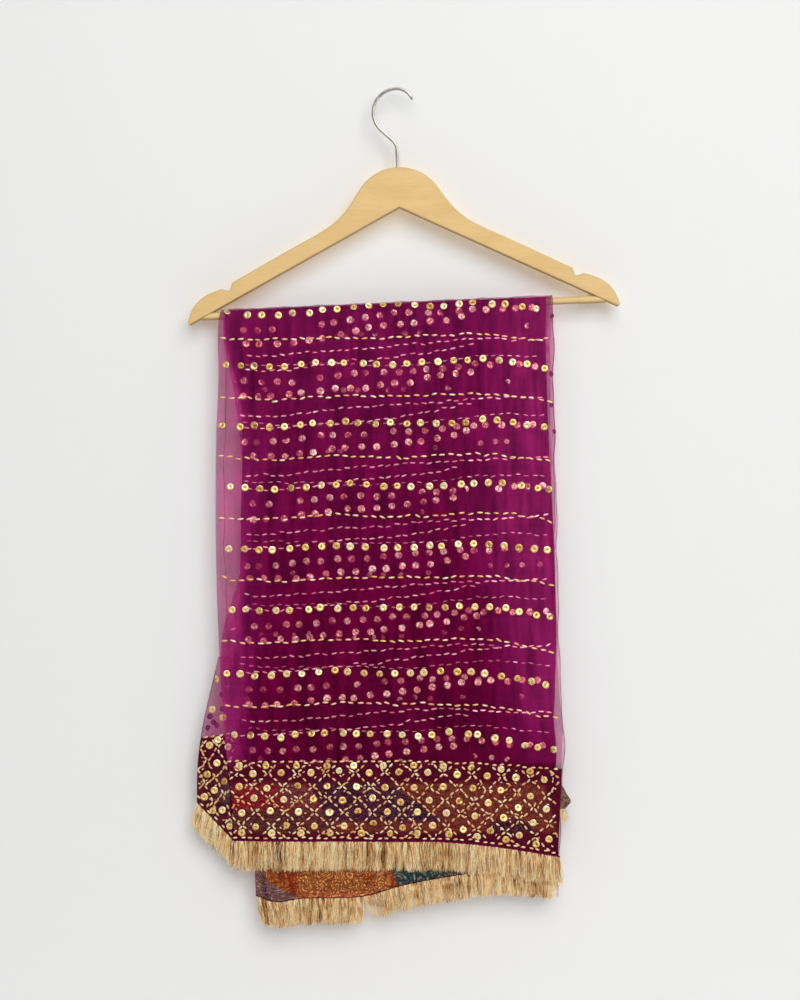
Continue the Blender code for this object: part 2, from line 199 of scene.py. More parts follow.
# %% [markdown]
# ## The studio
# A pale floor, a pale backdrop close behind to catch soft shadows, and broad soft lights. The backdrop
# should not get in the way when the stole is looked at from behind, so its back is clear and it throws no
# shadow.

# %% Build the floor and the backdrop
FLOOR_DOWN = 1.0
BACKDROP_BACK = 0.021
STUDIO_HALF = 1.6
MATT = 0.9
WALL_PAINT = (0.86, 0.86, 0.855)
FLOOR_PAINT = (0.72, 0.72, 0.72)


def stage_plane(name, location, turned, paint):
    bpy.ops.object.select_all(action="DESELECT")
    bpy.ops.mesh.primitive_plane_add(size=2 * STUDIO_HALF, location=location, rotation=(turned, 0, 0))
    plane = bpy.context.object
    plane.name = name
    bpy.ops.object.transform_apply(location=True, rotation=True, scale=True)
    plane.data.materials.append(paint)
    return plane


floor_paint, floor_shader = new_finish("matt floor paint", MATT)
floor_shader.inputs["Base Color"].default_value = (*FLOOR_PAINT, 1)
stage_plane("floor", (0, 0, -FLOOR_DOWN), 0, floor_paint)

wall_paint, wall_shader = new_finish("matt backdrop paint", MATT)
wall_shader.inputs["Base Color"].default_value = (*WALL_PAINT, 1)
facing = add_node(wall_paint, "NewGeometry")
clear = add_node(wall_paint, "BsdfTransparent")
either = add_node(wall_paint, "MixShader")
join(wall_paint, facing.outputs["Backfacing"], either.inputs[0])
join(wall_paint, wall_shader.outputs[0], either.inputs[1])
join(wall_paint, clear.outputs[0], either.inputs[2])
join(wall_paint, either.outputs[0], wall_paint.node_tree.nodes["Material Output"].inputs["Surface"])
backdrop_middle = (0, BACKDROP_BACK, STUDIO_HALF - FLOOR_DOWN)
backdrop = stage_plane("backdrop", backdrop_middle, math.radians(90), wall_paint)
backdrop.visible_shadow = False
print("backdrop", BACKDROP_BACK, "m behind the bar")

# %% Hang the lights
Lamp = namedtuple("Lamp", "name place size power")
LAMPS = (
    Lamp("key_softbox", (0.60, -2.8, 1.00), 2.5, 74.0),
    Lamp("back_softbox", (0.5, 2.3, 0.5), 1.2, 40.0),
)
ROOM_COLOUR = (1.0, 1.0, 1.0, 1)
ROOM_STRENGTH = 0.33
for lamp in LAMPS:
    light = bpy.data.lights.new(lamp.name, "AREA")
    light.shape = "SQUARE"
    light.size = lamp.size
    light.energy = lamp.power
    holder = bpy.data.objects.new(lamp.name, light)
    holder.location = lamp.place
    aim = PICTURE_MIDDLE - Vector(lamp.place)
    holder.rotation_euler = aim.to_track_quat("-Z", "Y").to_euler()
    bpy.context.scene.collection.objects.link(holder)

room = bpy.data.worlds.new("soft room")
room.use_nodes = True
room_light = room.node_tree.nodes["Background"]
room_light.inputs["Color"].default_value = ROOM_COLOUR
room_light.inputs["Strength"].default_value = ROOM_STRENGTH
bpy.context.scene.world = room
bpy.context.scene.view_settings.view_transform = "Standard"
print(len(LAMPS), "soft lights")

# %% [markdown]
# ## Wood
# The hanger is a flat piece of pale hardwood under clear varnish. Its grain runs along each arm, so two
# stretched noises make fine pores and broad soft bands. The milled edges are rounded over, and painted shade
# makes them a darker golden brown; painted shade also darkens the underside. Both are told apart by the
# surface's own normal.

# %% Wood finish
WOOD_PALE = (0.770, 0.525, 0.218)
WOOD_WARM = (0.715, 0.475, 0.188)
DOWEL_PALE = (0.84, 0.62, 0.31)
DOWEL_WARM = (0.78, 0.54, 0.24)
WOOD_EDGE_SHADE = (0.350, 0.245, 0.094)
WOOD_UNDERSIDE_SHADE = (0.400, 0.250, 0.095)
PORE_SHADE = (0.93, 0.91, 0.87)
CLEAN = (1, 1, 1)
ARM_GRAIN = (9.0, 60.0, 42.0)
BAR_GRAIN = (7.0, 140.0, 140.0)
PORES_FINER = 9
PORES_SHOW = 0.75
EDGE_SHADE_SHARPNESS = 0.6
UNDERSIDE_SHADE_GAIN = 1.4
UNDERSIDE_SHADE_FROM = 0.45
VARNISH_SHINE = 0.3


def wood_finish(name, grain_scale, pale, warm):
    finish, shader = new_finish(name, 0.42)
    broad = noise(finish, object_place(finish, grain_scale), 1.0, 3.0, 0.6)
    pore_scale = tuple(value * PORES_FINER for value in grain_scale)
    fine = noise(finish, object_place(finish, pore_scale), 1.0, 4.0)
    bands = ramp(finish, broad, ((0.35, pale), (0.68, warm)))
    pores = ramp(finish, fine, ((0.30, PORE_SHADE), (0.55, CLEAN)))
    grained = blended(finish, PORES_SHOW, bands, pores, "MULTIPLY")
    # Painted shade: a darker golden brown where the surface turns away from the front, and darker still where
    # it faces down.
    sides = parts_of(finish, add_node(finish, "NewGeometry").outputs["Normal"])
    edge_on = worked_out(finish, "ABSOLUTE", sides["Y"])
    edge = worked_out(finish, "SUBTRACT", 1.0, worked_out(finish, "POWER", edge_on, EDGE_SHADE_SHARPNESS))
    edge_shaded = blended(finish, edge, grained, WOOD_EDGE_SHADE)
    down = worked_out(finish, "MULTIPLY", sides["Z"], -UNDERSIDE_SHADE_GAIN)
    under = worked_out(finish, "MAXIMUM", worked_out(finish, "SUBTRACT", down, UNDERSIDE_SHADE_FROM), 0.0)
    join(finish, blended(finish, under, edge_shaded, WOOD_UNDERSIDE_SHADE), shader.inputs["Base Color"])
    uneven_gloss(finish, shader, broad, 0.25, 0.30)
    shader.inputs["Specular IOR Level"].default_value = VARNISH_SHINE
    raised(finish, shader, fine)
    return finish


def dress_node(name, finish):
    """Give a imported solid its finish. Its mesh stays as it is."""
    node = bpy.data.objects[name]
    for slot in node.material_slots:
        slot.material = finish
    if not node.material_slots:
        node.data.materials.append(finish)


dress_node("hanger_body", wood_finish("varnished wood", ARM_GRAIN, WOOD_PALE, WOOD_WARM))
dress_node("hanger_bar", wood_finish("varnished dowel", BAR_GRAIN, DOWEL_PALE, DOWEL_WARM))
print("wood on the body and the bar")

# %% [markdown]
# ## Steel
# The hook is bent from bright plated wire. Drawing the wire through a die leaves fine lines along it, so a
# noise stretched down the wire drives a little roughness and a faint bump.

# %% Steel finish
STEEL_DARK = (0.38, 0.370, 0.335)
STEEL_BRIGHT = (0.64, 0.625, 0.565)
DRAWN_LINES = (900.0, 900.0, 60.0)

steel, steel_shader = new_finish("plated steel wire", 0.2, 1.0)
drawn = noise(steel, object_place(steel, DRAWN_LINES), 1.0, 5.0)
plating = ramp(steel, drawn, ((0.3, STEEL_DARK), (0.7, STEEL_BRIGHT)))
join(steel, plating, steel_shader.inputs["Base Color"])
uneven_gloss(steel, steel_shader, drawn, 0.18, 0.20)
raised(steel, steel_shader, drawn)
dress_node("hanger_hook", steel)
print("steel on the hook")

# %% [markdown]
# ## How the cloth hangs
# All leaves of the stole hang the same way: down from the bar in front, round the bar's top, and down again
# behind. So one function can place any point of any leaf from two numbers: where it is along the bar, and
# its run, the length of cloth between it and the top of the bar (positive in front, negative behind). A
# leaf's reach is its distance from the bar's axis. Its fan is how much further out it hangs lower down.
#
# Short tables give the outline, one row for each height where the edge changes course, and a smooth curve
# runs through the rows. Down and along are measured from the hook's seat.

# %% Curves and outlines
Edges = namedtuple("Edges", "down left right")
Line = namedtuple("Line", "along down")
Drift = namedtuple("Drift", "along drop")

BAR_TILT = math.radians(2.53)
bar_low, bar_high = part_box("hanger_bar")
BAR_MIDDLE = (bar_low + bar_high) / 2

OUTER_FRONT = (
    Edges(0.214, -0.1785, 0.1615),
    Edges(0.240, -0.1825, 0.1618),
    Edges(0.300, -0.1826, 0.1622),
    Edges(0.346, -0.1844, 0.1630),
    Edges(0.430, -0.1850, 0.1650),
    Edges(0.548, -0.1825, 0.1672),
    Edges(0.620, -0.1785, 0.1693),
    Edges(0.677, -0.1745, 0.1729),
    Edges(0.703, -0.1720, 0.1712),
    Edges(0.791, -0.1655, 0.1674),
)
OUTER_BACK = (
    Edges(0.214, -0.1785, 0.1615),
    Edges(0.265, -0.1772, 0.1630),
    Edges(0.290, -0.1716, 0.1632),
    Edges(0.330, -0.1650, 0.1636),
    Edges(0.361, -0.1613, 0.1640),
    Edges(0.500, -0.1613, 0.1643),
    Edges(0.560, -0.1785, 0.1645),
    Edges(0.690, -0.1725, 0.1648),
    Edges(0.760, -0.1660, 0.1650),
)
BASE_FRONT = (
    Edges(0.214, -0.1780, 0.1595),
    Edges(0.240, -0.1820, 0.1598),
    Edges(0.300, -0.1821, 0.1592),
    Edges(0.346, -0.1839, 0.1592),
    Edges(0.548, -0.1820, 0.1658),
    Edges(0.620, -0.1780, 0.1682),
    Edges(0.677, -0.1740, 0.1720),
    Edges(0.703, -0.1715, 0.1702),
    Edges(0.791, -0.1650, 0.1664),
)
BASE_BACK = (
    Edges(0.214, -0.1780, 0.1595),
    Edges(0.265, -0.1767, 0.1560),
    Edges(0.290, -0.1711, 0.1555),
    Edges(0.330, -0.1645, 0.1540),
    Edges(0.361, -0.1608, 0.1530),
    Edges(0.500, -0.1608, 0.1525),
    Edges(0.560, -0.1780, 0.1530),
    Edges(0.690, -0.1720, 0.1535),
    Edges(0.760, -0.1655, 0.1540),
)
FLAP_FRONT = (
    Edges(0.214, -0.1750, 0.0860),
    Edges(0.266, -0.1740, 0.0865),
    Edges(0.300, -0.1640, 0.0855),
    Edges(0.330, -0.1588, 0.0840),
    Edges(0.392, -0.1575, 0.0705),
    Edges(0.470, -0.1575, 0.0820),
    Edges(0.511, -0.1600, 0.0930),
    Edges(0.575, -0.1745, 0.1075),
    Edges(0.640, -0.1730, 0.0780),
    Edges(0.760, -0.1640, 0.0900),
)
FLAP_BACK = (
    Edges(0.214, -0.1765, 0.0800),
    Edges(0.260, -0.1650, 0.0900),
    Edges(0.400, -0.1580, 0.1050),
    Edges(0.760, -0.1550, 0.1200),
)
CORE_FRONT = (
    Edges(0.214, -0.1768, 0.1545),
    Edges(0.262, -0.1750, 0.1545),
    Edges(0.281, -0.1706, 0.1550),
    Edges(0.322, -0.1604, 0.1560),
    Edges(0.360, -0.1586, 0.1575),
    Edges(0.430, -0.1598, 0.1612),
    Edges(0.485, -0.1606, 0.1636),
    Edges(0.525, -0.1612, 0.1647),
    Edges(0.559, -0.1630, 0.1655),
    Edges(0.584, -0.1672, 0.1650),
    Edges(0.620, -0.1658, 0.1635),
    Edges(0.650, -0.1665, 0.1622),
    Edges(0.677, -0.1655, 0.1650),
    Edges(0.695, -0.1640, 0.1650),
    Edges(0.715, -0.1500, 0.1610),
    Edges(0.780, -0.1468, 0.1620),
    Edges(0.840, -0.1440, 0.1640),
)
CORE_BACK = (
    Edges(0.214, -0.1590, 0.1560),
    Edges(0.400, -0.1560, 0.1500),
    Edges(0.760, -0.1530, 0.1510),
)
FRONT_HEM = (
    Line(-0.1700, 0.7740),
    Line(0.0041, 0.7750),
    Line(0.0455, 0.7752),
    Line(0.0962, 0.7793),
    Line(0.1690, 0.7906),
)
INNER_HEM = (
    Line(-0.1470, 0.8300),
    Line(-0.1293, 0.8370),
    Line(-0.0972, 0.8342),
    Line(-0.0290, 0.8310),
    Line(0.0041, 0.8216),
    Line(0.0455, 0.8133),
    Line(0.0962, 0.8062),
    Line(0.1640, 0.8100),
)
BACK_DOWN = 0.7480


def mix(first, second, share):
    return first + (second - first) * share


def smooth_step(share):
    share = np.clip(share, 0, 1)
    return share * share * (3 - 2 * share)


def curve(table, key, value):
    """A smooth function through one column of a table, for numbers and arrays."""
    keys = np.array([getattr(row, key) for row in table])
    values = np.array([getattr(row, value) for row in table])
    slopes = np.gradient(values, keys)

    def at(place):
        place = np.clip(place, keys[0], keys[-1])
        low = np.clip(np.searchsorted(keys, place, side="right") - 1, 0, len(keys) - 2)
        span = keys[low + 1] - keys[low]
        t = (place - keys[low]) / span
        lead_in = slopes[low] * t * (1 - t) ** 2
        lead_out = slopes[low + 1] * t * t * (t - 1)
        return mix(values[low], values[low + 1], smooth_step(t)) + span * (lead_in + lead_out)

    return at


def level(value):
    """A line of one value all along."""
    return lambda place: np.full(np.shape(place), value)


def moved(line, by):
    """A line a little further right or down than another."""
    return lambda place: line(place) + by


SETTLING_ROUNDS = 4
LEAF_ROUNDS = 3
HEM_STEP_UP = 0.0035
front_hem = curve(FRONT_HEM, "along", "down")
base_hem = moved(front_hem, -HEM_STEP_UP)
flap_hem = moved(front_hem, -3 * HEM_STEP_UP)
inner_hem = curve(INNER_HEM, "along", "down")


def bar_down(along):
    """How far below the hook's seat the bar's axis is."""
    return -BAR_MIDDLE.z - (along - BAR_MIDDLE.x) * math.tan(BAR_TILT)


print("bar", round(bar_down(0.0), 4), "m below the hook's seat")

# %% [markdown]
# ## Billows and creases
# Organza is crisp. It falls almost flat, in a few broad billows and some narrow creases that were pressed
# into it while it lay folded. Each is a soft ridge (or a trough, where its depth is negative) with its own
# width, depth and length, placed one by one and as uneven as in real cloth.

# %% Ridges and troughs
Crease = namedtuple("Crease", "along lean half_width depth starts ends")
CREASE_FADE = 0.09
FAN_RUN = 0.42

FRONT_BILLOWS = (
    Crease(-0.105, 0.00, 0.080, 0.0022, 0.36, 1.0),
    Crease(0.005, 0.00, 0.070, 0.0007, 0.42, 1.0),
    Crease(0.100, 0.00, 0.070, 0.0018, 0.40, 1.0),
    Crease(0.190, 0.00, 0.070, 0.0024, 0.54, 1.0),
)
FRONT_CREASES = FRONT_BILLOWS + (
    Crease(-0.1490, 0.03, 0.0065, -0.0016, 0.20, 0.37),
    Crease(-0.1400, 0.00, 0.0070, 0.0017, 0.20, 0.47),
    Crease(-0.1665, 0.03, 0.0070, 0.0006, 0.30, 0.66),
    Crease(-0.1180, 0.04, 0.0120, -0.0006, 0.24, 0.52),
    Crease(-0.0820, -0.02, 0.0150, 0.0007, 0.22, 0.60),
    Crease(-0.0480, 0.03, 0.0130, -0.0008, 0.30, 0.74),
    Crease(-0.0180, -0.03, 0.0160, 0.0007, 0.21, 0.50),
    Crease(0.0220, 0.02, 0.0120, -0.0006, 0.33, 0.70),
    Crease(0.0500, 0.03, 0.0140, 0.0009, 0.26, 0.68),
    Crease(0.0720, 0.00, 0.0090, -0.0009, 0.22, 0.57),
    Crease(0.0950, -0.04, 0.0130, 0.0007, 0.23, 0.50),
    Crease(0.1190, 0.02, 0.0110, -0.0008, 0.36, 0.76),
    Crease(0.1380, 0.03, 0.0100, 0.0010, 0.24, 0.72),
    Crease(0.1530, 0.02, 0.0060, -0.0008, 0.28, 0.70),
    Crease(-0.1300, 0.00, 0.0200, 0.0010, 0.60, 1.0),
    Crease(-0.0700, 0.00, 0.0240, -0.0009, 0.62, 1.0),
    Crease(0.0600, 0.02, 0.0220, 0.0009, 0.63, 1.0),
)
BACK_BILLOWS = (
    Crease(-0.080, 0.00, 0.075, 0.0024, 0.38, 1.0),
    Crease(0.045, 0.00, 0.070, 0.0012, 0.34, 1.0),
    Crease(0.140, 0.00, 0.070, 0.0022, 0.44, 1.0),
)
BACK_CREASES = BACK_BILLOWS + (
    Crease(-0.1420, 0.02, 0.0110, -0.0008, 0.22, 0.56),
    Crease(-0.1150, -0.02, 0.0140, 0.0008, 0.25, 0.70),
    Crease(-0.0560, 0.03, 0.0120, -0.0007, 0.22, 0.49),
    Crease(-0.0240, 0.00, 0.0170, 0.0009, 0.30, 0.74),
    Crease(0.0180, -0.03, 0.0130, -0.0008, 0.24, 0.62),
    Crease(0.0700, 0.02, 0.0150, 0.0008, 0.22, 0.54),
    Crease(0.1020, 0.00, 0.0110, -0.0009, 0.33, 0.76),
    Crease(0.1320, 0.02, 0.0120, 0.0009, 0.26, 0.66),
)


def relief(creases, along, down):
    """How far the ridges push the cloth out at these places."""
    total = np.zeros(np.broadcast(along, down).shape)
    for crease in creases:
        middle = crease.along + crease.lean * (down - crease.starts)
        across = np.clip(np.abs(along - middle) / crease.half_width, 0, 1)
        begun = smooth_step((down - crease.starts) / CREASE_FADE)
        left = smooth_step((crease.ends - down) / CREASE_FADE)
        total = total + crease.depth * np.cos(across * np.pi / 2) ** 2 * begun * left
    return total


# %% One function for every leaf
RIPPLE_WAVES = ((148, 0.6, 1.0), (371, 0.0, 0.6))
RELIEF_BEGINS = 0.04
PROBE = 0.0008


def waves(place, table):
    """A sum of sine waves, each row of the table giving how tight, where it starts and how strong."""
    return sum(strength * np.sin(place * tightness + start) for tightness, start, strength in table)


class Leaf:
    """A layer of the folded stole, and how it hangs."""

    def __init__(self, reach, fan, front, back, front_creases, back_creases, ripple=0.0):
        self.reach = reach
        self.fan = fan
        self.edges = {}
        for side, table in (("front", front), ("back", back)):
            self.edges[side] = (curve(table, "down", "left"), curve(table, "down", "right"))
        self.creases = {"front": front_creases, "back": back_creases}
        self.ripple = ripple

    def point(self, along, run):
        """Where a point of the leaf hangs."""
        along, run = np.broadcast_arrays(np.asarray(along, float), np.asarray(run, float))
        turn = np.clip(run / self.reach, -np.pi / 2, np.pi / 2)
        past = np.maximum(np.abs(run) - self.reach * np.pi / 2, 0)
        ripple = self.ripple * waves(along, RIPPLE_WAVES) * np.cos(turn)
        down = bar_down(along) - (self.reach + ripple) * np.cos(turn) + past
        lift = np.where(
            run >= 0,
            relief(self.creases["front"], along, down),
            relief(self.creases["back"], along, down),
        )
        out = self.reach * np.abs(np.sin(turn)) + self.fan * smooth_step(past / FAN_RUN)
        out = out + lift * smooth_step(past / RELIEF_BEGINS)
        return np.stack([along, np.where(run >= 0, -out, out), -down], axis=-1)

    def run_at(self, along, down):
        """The run of a point in front at this depth."""
        level = bar_down(along)
        turned = np.arccos(np.clip((level - down) / self.reach, 0, 1))
        return self.reach * turned + np.maximum(down - level, 0)

    def along_at(self, share, down, side):
        left, right = self.edges[side]
        return mix(left(down), right(down), share)


Axes = namedtuple("Axes", "here across lower outwards")


def axes_of(point, along, second):
    """Points of a surface, with its directions across, down and outwards there."""
    here = point(along, second)
    across = unit(point(along + PROBE, second) - point(along - PROBE, second))
    lower = unit(point(along, second + PROBE) - point(along, second - PROBE))
    return Axes(here, across, lower, unit(np.cross(lower, across)))


def unit(vectors):
    return vectors / np.linalg.norm(vectors, axis=-1, keepdims=True)


CREASED = (FRONT_CREASES, BACK_CREASES)
BILLOWED = (FRONT_BILLOWS, BACK_BILLOWS)
OUTER = Leaf(0.0064, 0.0024, OUTER_FRONT, OUTER_BACK, *CREASED, ripple=0.00035)
FLAP = Leaf(0.0057, 0.0016, FLAP_FRONT, FLAP_BACK, *CREASED)
BASE = Leaf(0.0051, 0.0009, BASE_FRONT, BASE_BACK, *CREASED)
CORE = Leaf(0.0046, 0.0003, CORE_FRONT, CORE_BACK, *BILLOWED)
print("leaves from", CORE.reach, "to", OUTER.reach, "m from the bar's axis")

# %% [markdown]
# ## Cloth from a grid
# A sheet starts as a grid primitive, and its points are then moved onto the form. The grid's own two
# numbers, 0 to 1 across and 0 to 1 along, are all that the placing function needs. The cloth's flat
# coordinates go into a UV map in metres, so a weave keeps its scale wherever the cloth bends.

# %% Helper: a sheet of cloth
def sheet_from_grid(name, columns, rows, place, finish):
    """A grid whose points are put in place. place gives points, flat UVs and the tone of the purple, with its
    painted light and shade, at each point.
    """
    bpy.ops.object.select_all(action="DESELECT")
    bpy.ops.mesh.primitive_grid_add(x_subdivisions=columns, y_subdivisions=rows, size=2)
    piece = bpy.context.object
    piece.name = name
    mesh = piece.data
    mesh.name = name
    flat = np.empty(len(mesh.vertices) * 3)
    mesh.vertices.foreach_get("co", flat)
    u, v = (flat.reshape(-1, 3)[:, :2].T + 1) / 2
    points, cloth_uv, dye = place(u, v)
    mesh.vertices.foreach_set("co", points.ravel())
    corners = np.empty(len(mesh.loops), int)
    mesh.loops.foreach_get("vertex_index", corners)
    layer = mesh.uv_layers[0] if mesh.uv_layers else mesh.uv_layers.new()
    layer.name = "flat"
    layer.data.foreach_set("uv", cloth_uv[corners].ravel())
    write_colours(mesh, "dye", dye)
    mesh.update()
    mesh.shade_smooth()
    mesh.materials.clear()
    mesh.materials.append(finish)
    print(name, len(mesh.polygons) * 2, "triangles")
    return piece


def write_colours(mesh, name, colours):
    """A colour for each point of a mesh, from single numbers or (red, green, blue) rows."""
    colours = np.asarray(colours, float)
    if colours.ndim == 1:
        colours = np.repeat(colours[:, None], 3, axis=1)
    layer = mesh.color_attributes.new(name, "FLOAT_COLOR", "POINT")
    rgba = np.concatenate([colours, np.ones((len(colours), 1))], axis=1)
    layer.data.foreach_set("color", rgba.ravel())


# %% [markdown]
# ## Organza
# Organza is a plain weave of fine hard-twisted threads with gaps between them, so the wall shows through a
# single leaf and hardly at all through five. A plain alpha on each leaf gives this by itself, and the many
# leaves inside are one opaque sheet. Painted light makes the dye paler where one or two leaves hang against
# the light, and painted shade makes it darker over the brocade, so each point of the cloth carries a number
# that picks its tone of dye and painted light. Waves across and along the flat coordinates are the threads,
# and stretched noises give the streaks of uneven yarn.

# %% Organza finish
# The dye at each step of painted light: painted shade over brocade, low, deep over many leaves, and painted
# light where few leaves hang against the light.
DYE_SHADED = (0.095, 0.0003, 0.012)
DYE_LOW = (0.262, 0.0004, 0.069)
DYE_DEEP = (0.352, 0.0080, 0.136)
DYE_LIT = (0.680, 0.0360, 0.290)
DYE_BY_PAINTED_LIGHT = ((0.0, DYE_SHADED), (0.28, DYE_LOW), (0.5, DYE_DEEP), (1.0, DYE_LIT))
YARN_SHADES = ((0.41, (0.34,) * 3), (0.60, (1.0,) * 3))
SHEEN_COLOUR = (0.9, 0.06, 0.5, 1)
SHEER_COVER = 0.40
CLOSE_COVER = 0.43
THREAD_PITCH = 0.0007
STREAKS = (150.0, 12.0, 1.0)
SLUBS = (14.0, 300.0, 1.0)
CLOUDS = (60.0, 20.0, 1.0)
SLUB_SHARE = 0.35
WAVES_IN_ONE = 0.314  # at a scale of 1, the bands of a wave texture are this far apart


def organza_finish(name, cover):
    finish, shader = new_finish(name, 0.5)
    # The dye, with the painted light and shade picked by the number each point carries.
    dyed = ramp(finish, tone_of(finish, "dye"), DYE_BY_PAINTED_LIGHT)
    streaks = noise(finish, flat_place(finish, STREAKS), 1.0, 4.0)
    slubs = noise(finish, flat_place(finish, SLUBS), 1.0, 3.0)
    clouds = noise(finish, flat_place(finish, CLOUDS), 1.0, 3.0)
    uneven = worked_out(finish, "ADD", streaks, clouds)
    uneven = worked_out(finish, "MULTIPLY_ADD", slubs, SLUB_SHARE, uneven)
    uneven = worked_out(finish, "DIVIDE", uneven, 2 + SLUB_SHARE)
    shades = ramp(finish, uneven, YARN_SHADES)
    join(finish, blended(finish, 1.0, dyed, shades, "MULTIPLY"), shader.inputs["Base Color"])
    threads = []
    for direction in ("X", "Y"):
        wave = add_node(finish, "TexWave", Scale=WAVES_IN_ONE / THREAD_PITCH, bands_direction=direction)
        join(finish, flat_place(finish), wave.inputs["Vector"])
        threads.append(wave.outputs["Fac"])
    raised(finish, shader, worked_out(finish, "ADD", *threads))
    uneven_gloss(finish, shader, slubs, 0.3, 0.36)
    shader.inputs["Alpha"].default_value = cover
    shader.inputs["Specular IOR Level"].default_value = 0.02
    shader.inputs["Sheen Weight"].default_value = 0.05
    shader.inputs["Sheen Roughness"].default_value = 0.35
    shader.inputs["Sheen Tint"].default_value = SHEEN_COLOUR
    return finish


sheer_organza = organza_finish("purple organza", SHEER_COVER)
close_organza = organza_finish("purple organza, base leaf", CLOSE_COVER)
gathered_organza = organza_finish("purple organza, many leaves", 1.0)
print("organza covers", SHEER_COVER, "to", CLOSE_COVER, "of what is behind each leaf")

# %% [markdown]
# ## Light and shade painted into the dye
# Where the hidden leaves end, the outer ones hang against the light, and painted light makes them pale. Over
# the hidden leaves the dye is deep, and it is painted darker towards the hem. Painted light runs along both
# sides, and at the right that band is widest about halfway down. Over the brocade painted shade makes the
# cloth darkest of all.

# %% The tone of the dye
MANY_LEAVES_TONE = 0.5
BROCADE_PAINTED_SHADE = 0.03
RIGHT_STRIP_PAINTED_LIGHT = 0.8
INNER_EDGE_BLUR = 0.003
LOWER_FROM = 0.24
LOWER_OVER = 0.45
SINKS_BY = 0.33
BROCADE_FROM = 0.692
BROCADE_BLUR = 0.006
Fade = namedtuple("Fade", "loss starts over")
LOW_PALE = Fade(0.14, 0.52, 0.05)
LOW_RIGHT = Fade(0.45, 0.62, 0.06)
Glow = namedtuple("Glow", "strength edge width starts over")
LEFT_GLOW = Glow(0.5, -0.1620, 0.014, 0.30, 0.09)
TOP_LEFT_GLOW = Glow(0.30, -0.1740, 0.010, 0.36, -0.06)
RIGHT_GLOWS = (0.30, 0.58)
RIGHT_EDGE = 0.085
RIGHT_WIDTHS = (0.075, 0.09)
RIGHT_BULGE = 0.030
BULGE_DOWN = 0.43
BULGE_SPREAD = 0.13


def kept_below(fade, down):
    """The share that is left of something which weakens lower down."""
    return 1 - fade.loss * smooth_step((down - fade.starts) / fade.over)


def side_glow(glow, along, down):
    """Light along the left side. It begins at one height and dies away inwards."""
    inwards = np.exp(-np.maximum(along - glow.edge, 0) / glow.width)
    return glow.strength * inwards * smooth_step((down - glow.starts) / glow.over)


def light_through(along, run, down):
    """The tone of the purple, with painted light and shade: 1 where few leaves hang against the light, 0.5
    over many and nearly 0 over brocade. Over the many it darkens towards the hem, and painted light glows a
    little along both sides."""
    side = np.where(run >= 0, 1.0, 0.0)
    inner_left = mix(CORE.edges["back"][0](down), CORE.edges["front"][0](down), side)
    inner_right = mix(CORE.edges["back"][1](down), CORE.edges["front"][1](down), side)
    few = smooth_step((inner_left - along) / INNER_EDGE_BLUR + 0.5)
    few = np.maximum(few, RIGHT_STRIP_PAINTED_LIGHT * smooth_step((along - inner_right) / INNER_EDGE_BLUR + 0.5))
    few = few * kept_below(LOW_PALE, down)
    lower = np.clip((down - LOWER_FROM) / LOWER_OVER, 0, 1) * side
    bulge = np.exp(-(((down - BULGE_DOWN) / BULGE_SPREAD) ** 2))
    reaches = (along - RIGHT_EDGE + RIGHT_BULGE * bulge) / mix(*RIGHT_WIDTHS, bulge)
    at_right = mix(*RIGHT_GLOWS, lower) * smooth_step(reaches) * kept_below(LOW_RIGHT, down)
    at_left = side_glow(LEFT_GLOW, along, down) + side_glow(TOP_LEFT_GLOW, along, down)
    middle = MANY_LEAVES_TONE - SINKS_BY * lower + at_left + at_right
    brocaded = smooth_step((down - BROCADE_FROM) / BROCADE_BLUR) * side
    return np.clip(mix(mix(middle, 1.0, few), BROCADE_PAINTED_SHADE, brocaded), 0, 1)


# %% [markdown]
# ## The outer leaf and the base leaf
# These two are one stretch of cloth, doubled at the left edge. It is modelled that way: the grid runs in
# from the right edge of the outer leaf, round the fold at the left, and back across the base leaf. Lengthways
# it starts at the front hem, climbs over the bar and ends in the turn at mid-length, low at the back.

# %% Outer and base leaves
FOLD_SHARE = 0.02
CLOSING_ROWS = 0.03
TURN_IN = 0.0016
TURN_IN_BASE = 0.0014
TIGHTEST_TURN = 0.0006
EDGE_SWAY = 0.0007
EDGE_WAVES = ((74, 1.0, 1.0), (139, 2.0, 0.6))
LEAF_WIDTH = 0.345
GRID_SHARES = (0, 0.465, 0.50, 0.535, 1)
CLOTH_SHARES = (1, 0.02, 0, -0.02, -1)


def edge_sway(down):
    """The slight wander of a free edge."""
    return EDGE_SWAY * waves(down, EDGE_WAVES)


def length_share(v):
    """1 at the front hem, 0 on top of the bar, -1 at the back fold, with rows gathered at the bar."""
    return np.interp(v, GRID_SHARES, CLOTH_SHARES)


def hang_leaf(leaf, across, share, hem):
    """Places of a leaf from shares across its width and along its length: along, run and down. Each depends
    on the others, so they settle over a few rounds."""
    down = mix(bar_down(0.0), BACK_DOWN, np.abs(share))
    for _ in range(LEAF_ROUNDS):
        along = np.where(
            share >= 0, leaf.along_at(across, down, "front"), leaf.along_at(across, down, "back")
        )
        front_end = leaf.run_at(along, hem(along))
        back_end = leaf.run_at(along, BACK_DOWN)
        run = share * np.where(share >= 0, front_end, back_end)
        level = bar_down(along)
        turned = np.clip(np.abs(run) / leaf.reach, 0, np.pi / 2)
        past = np.maximum(np.abs(run) - leaf.reach * np.pi / 2, 0)
        down = level - leaf.reach * np.cos(turned) + past
    return along, run, down


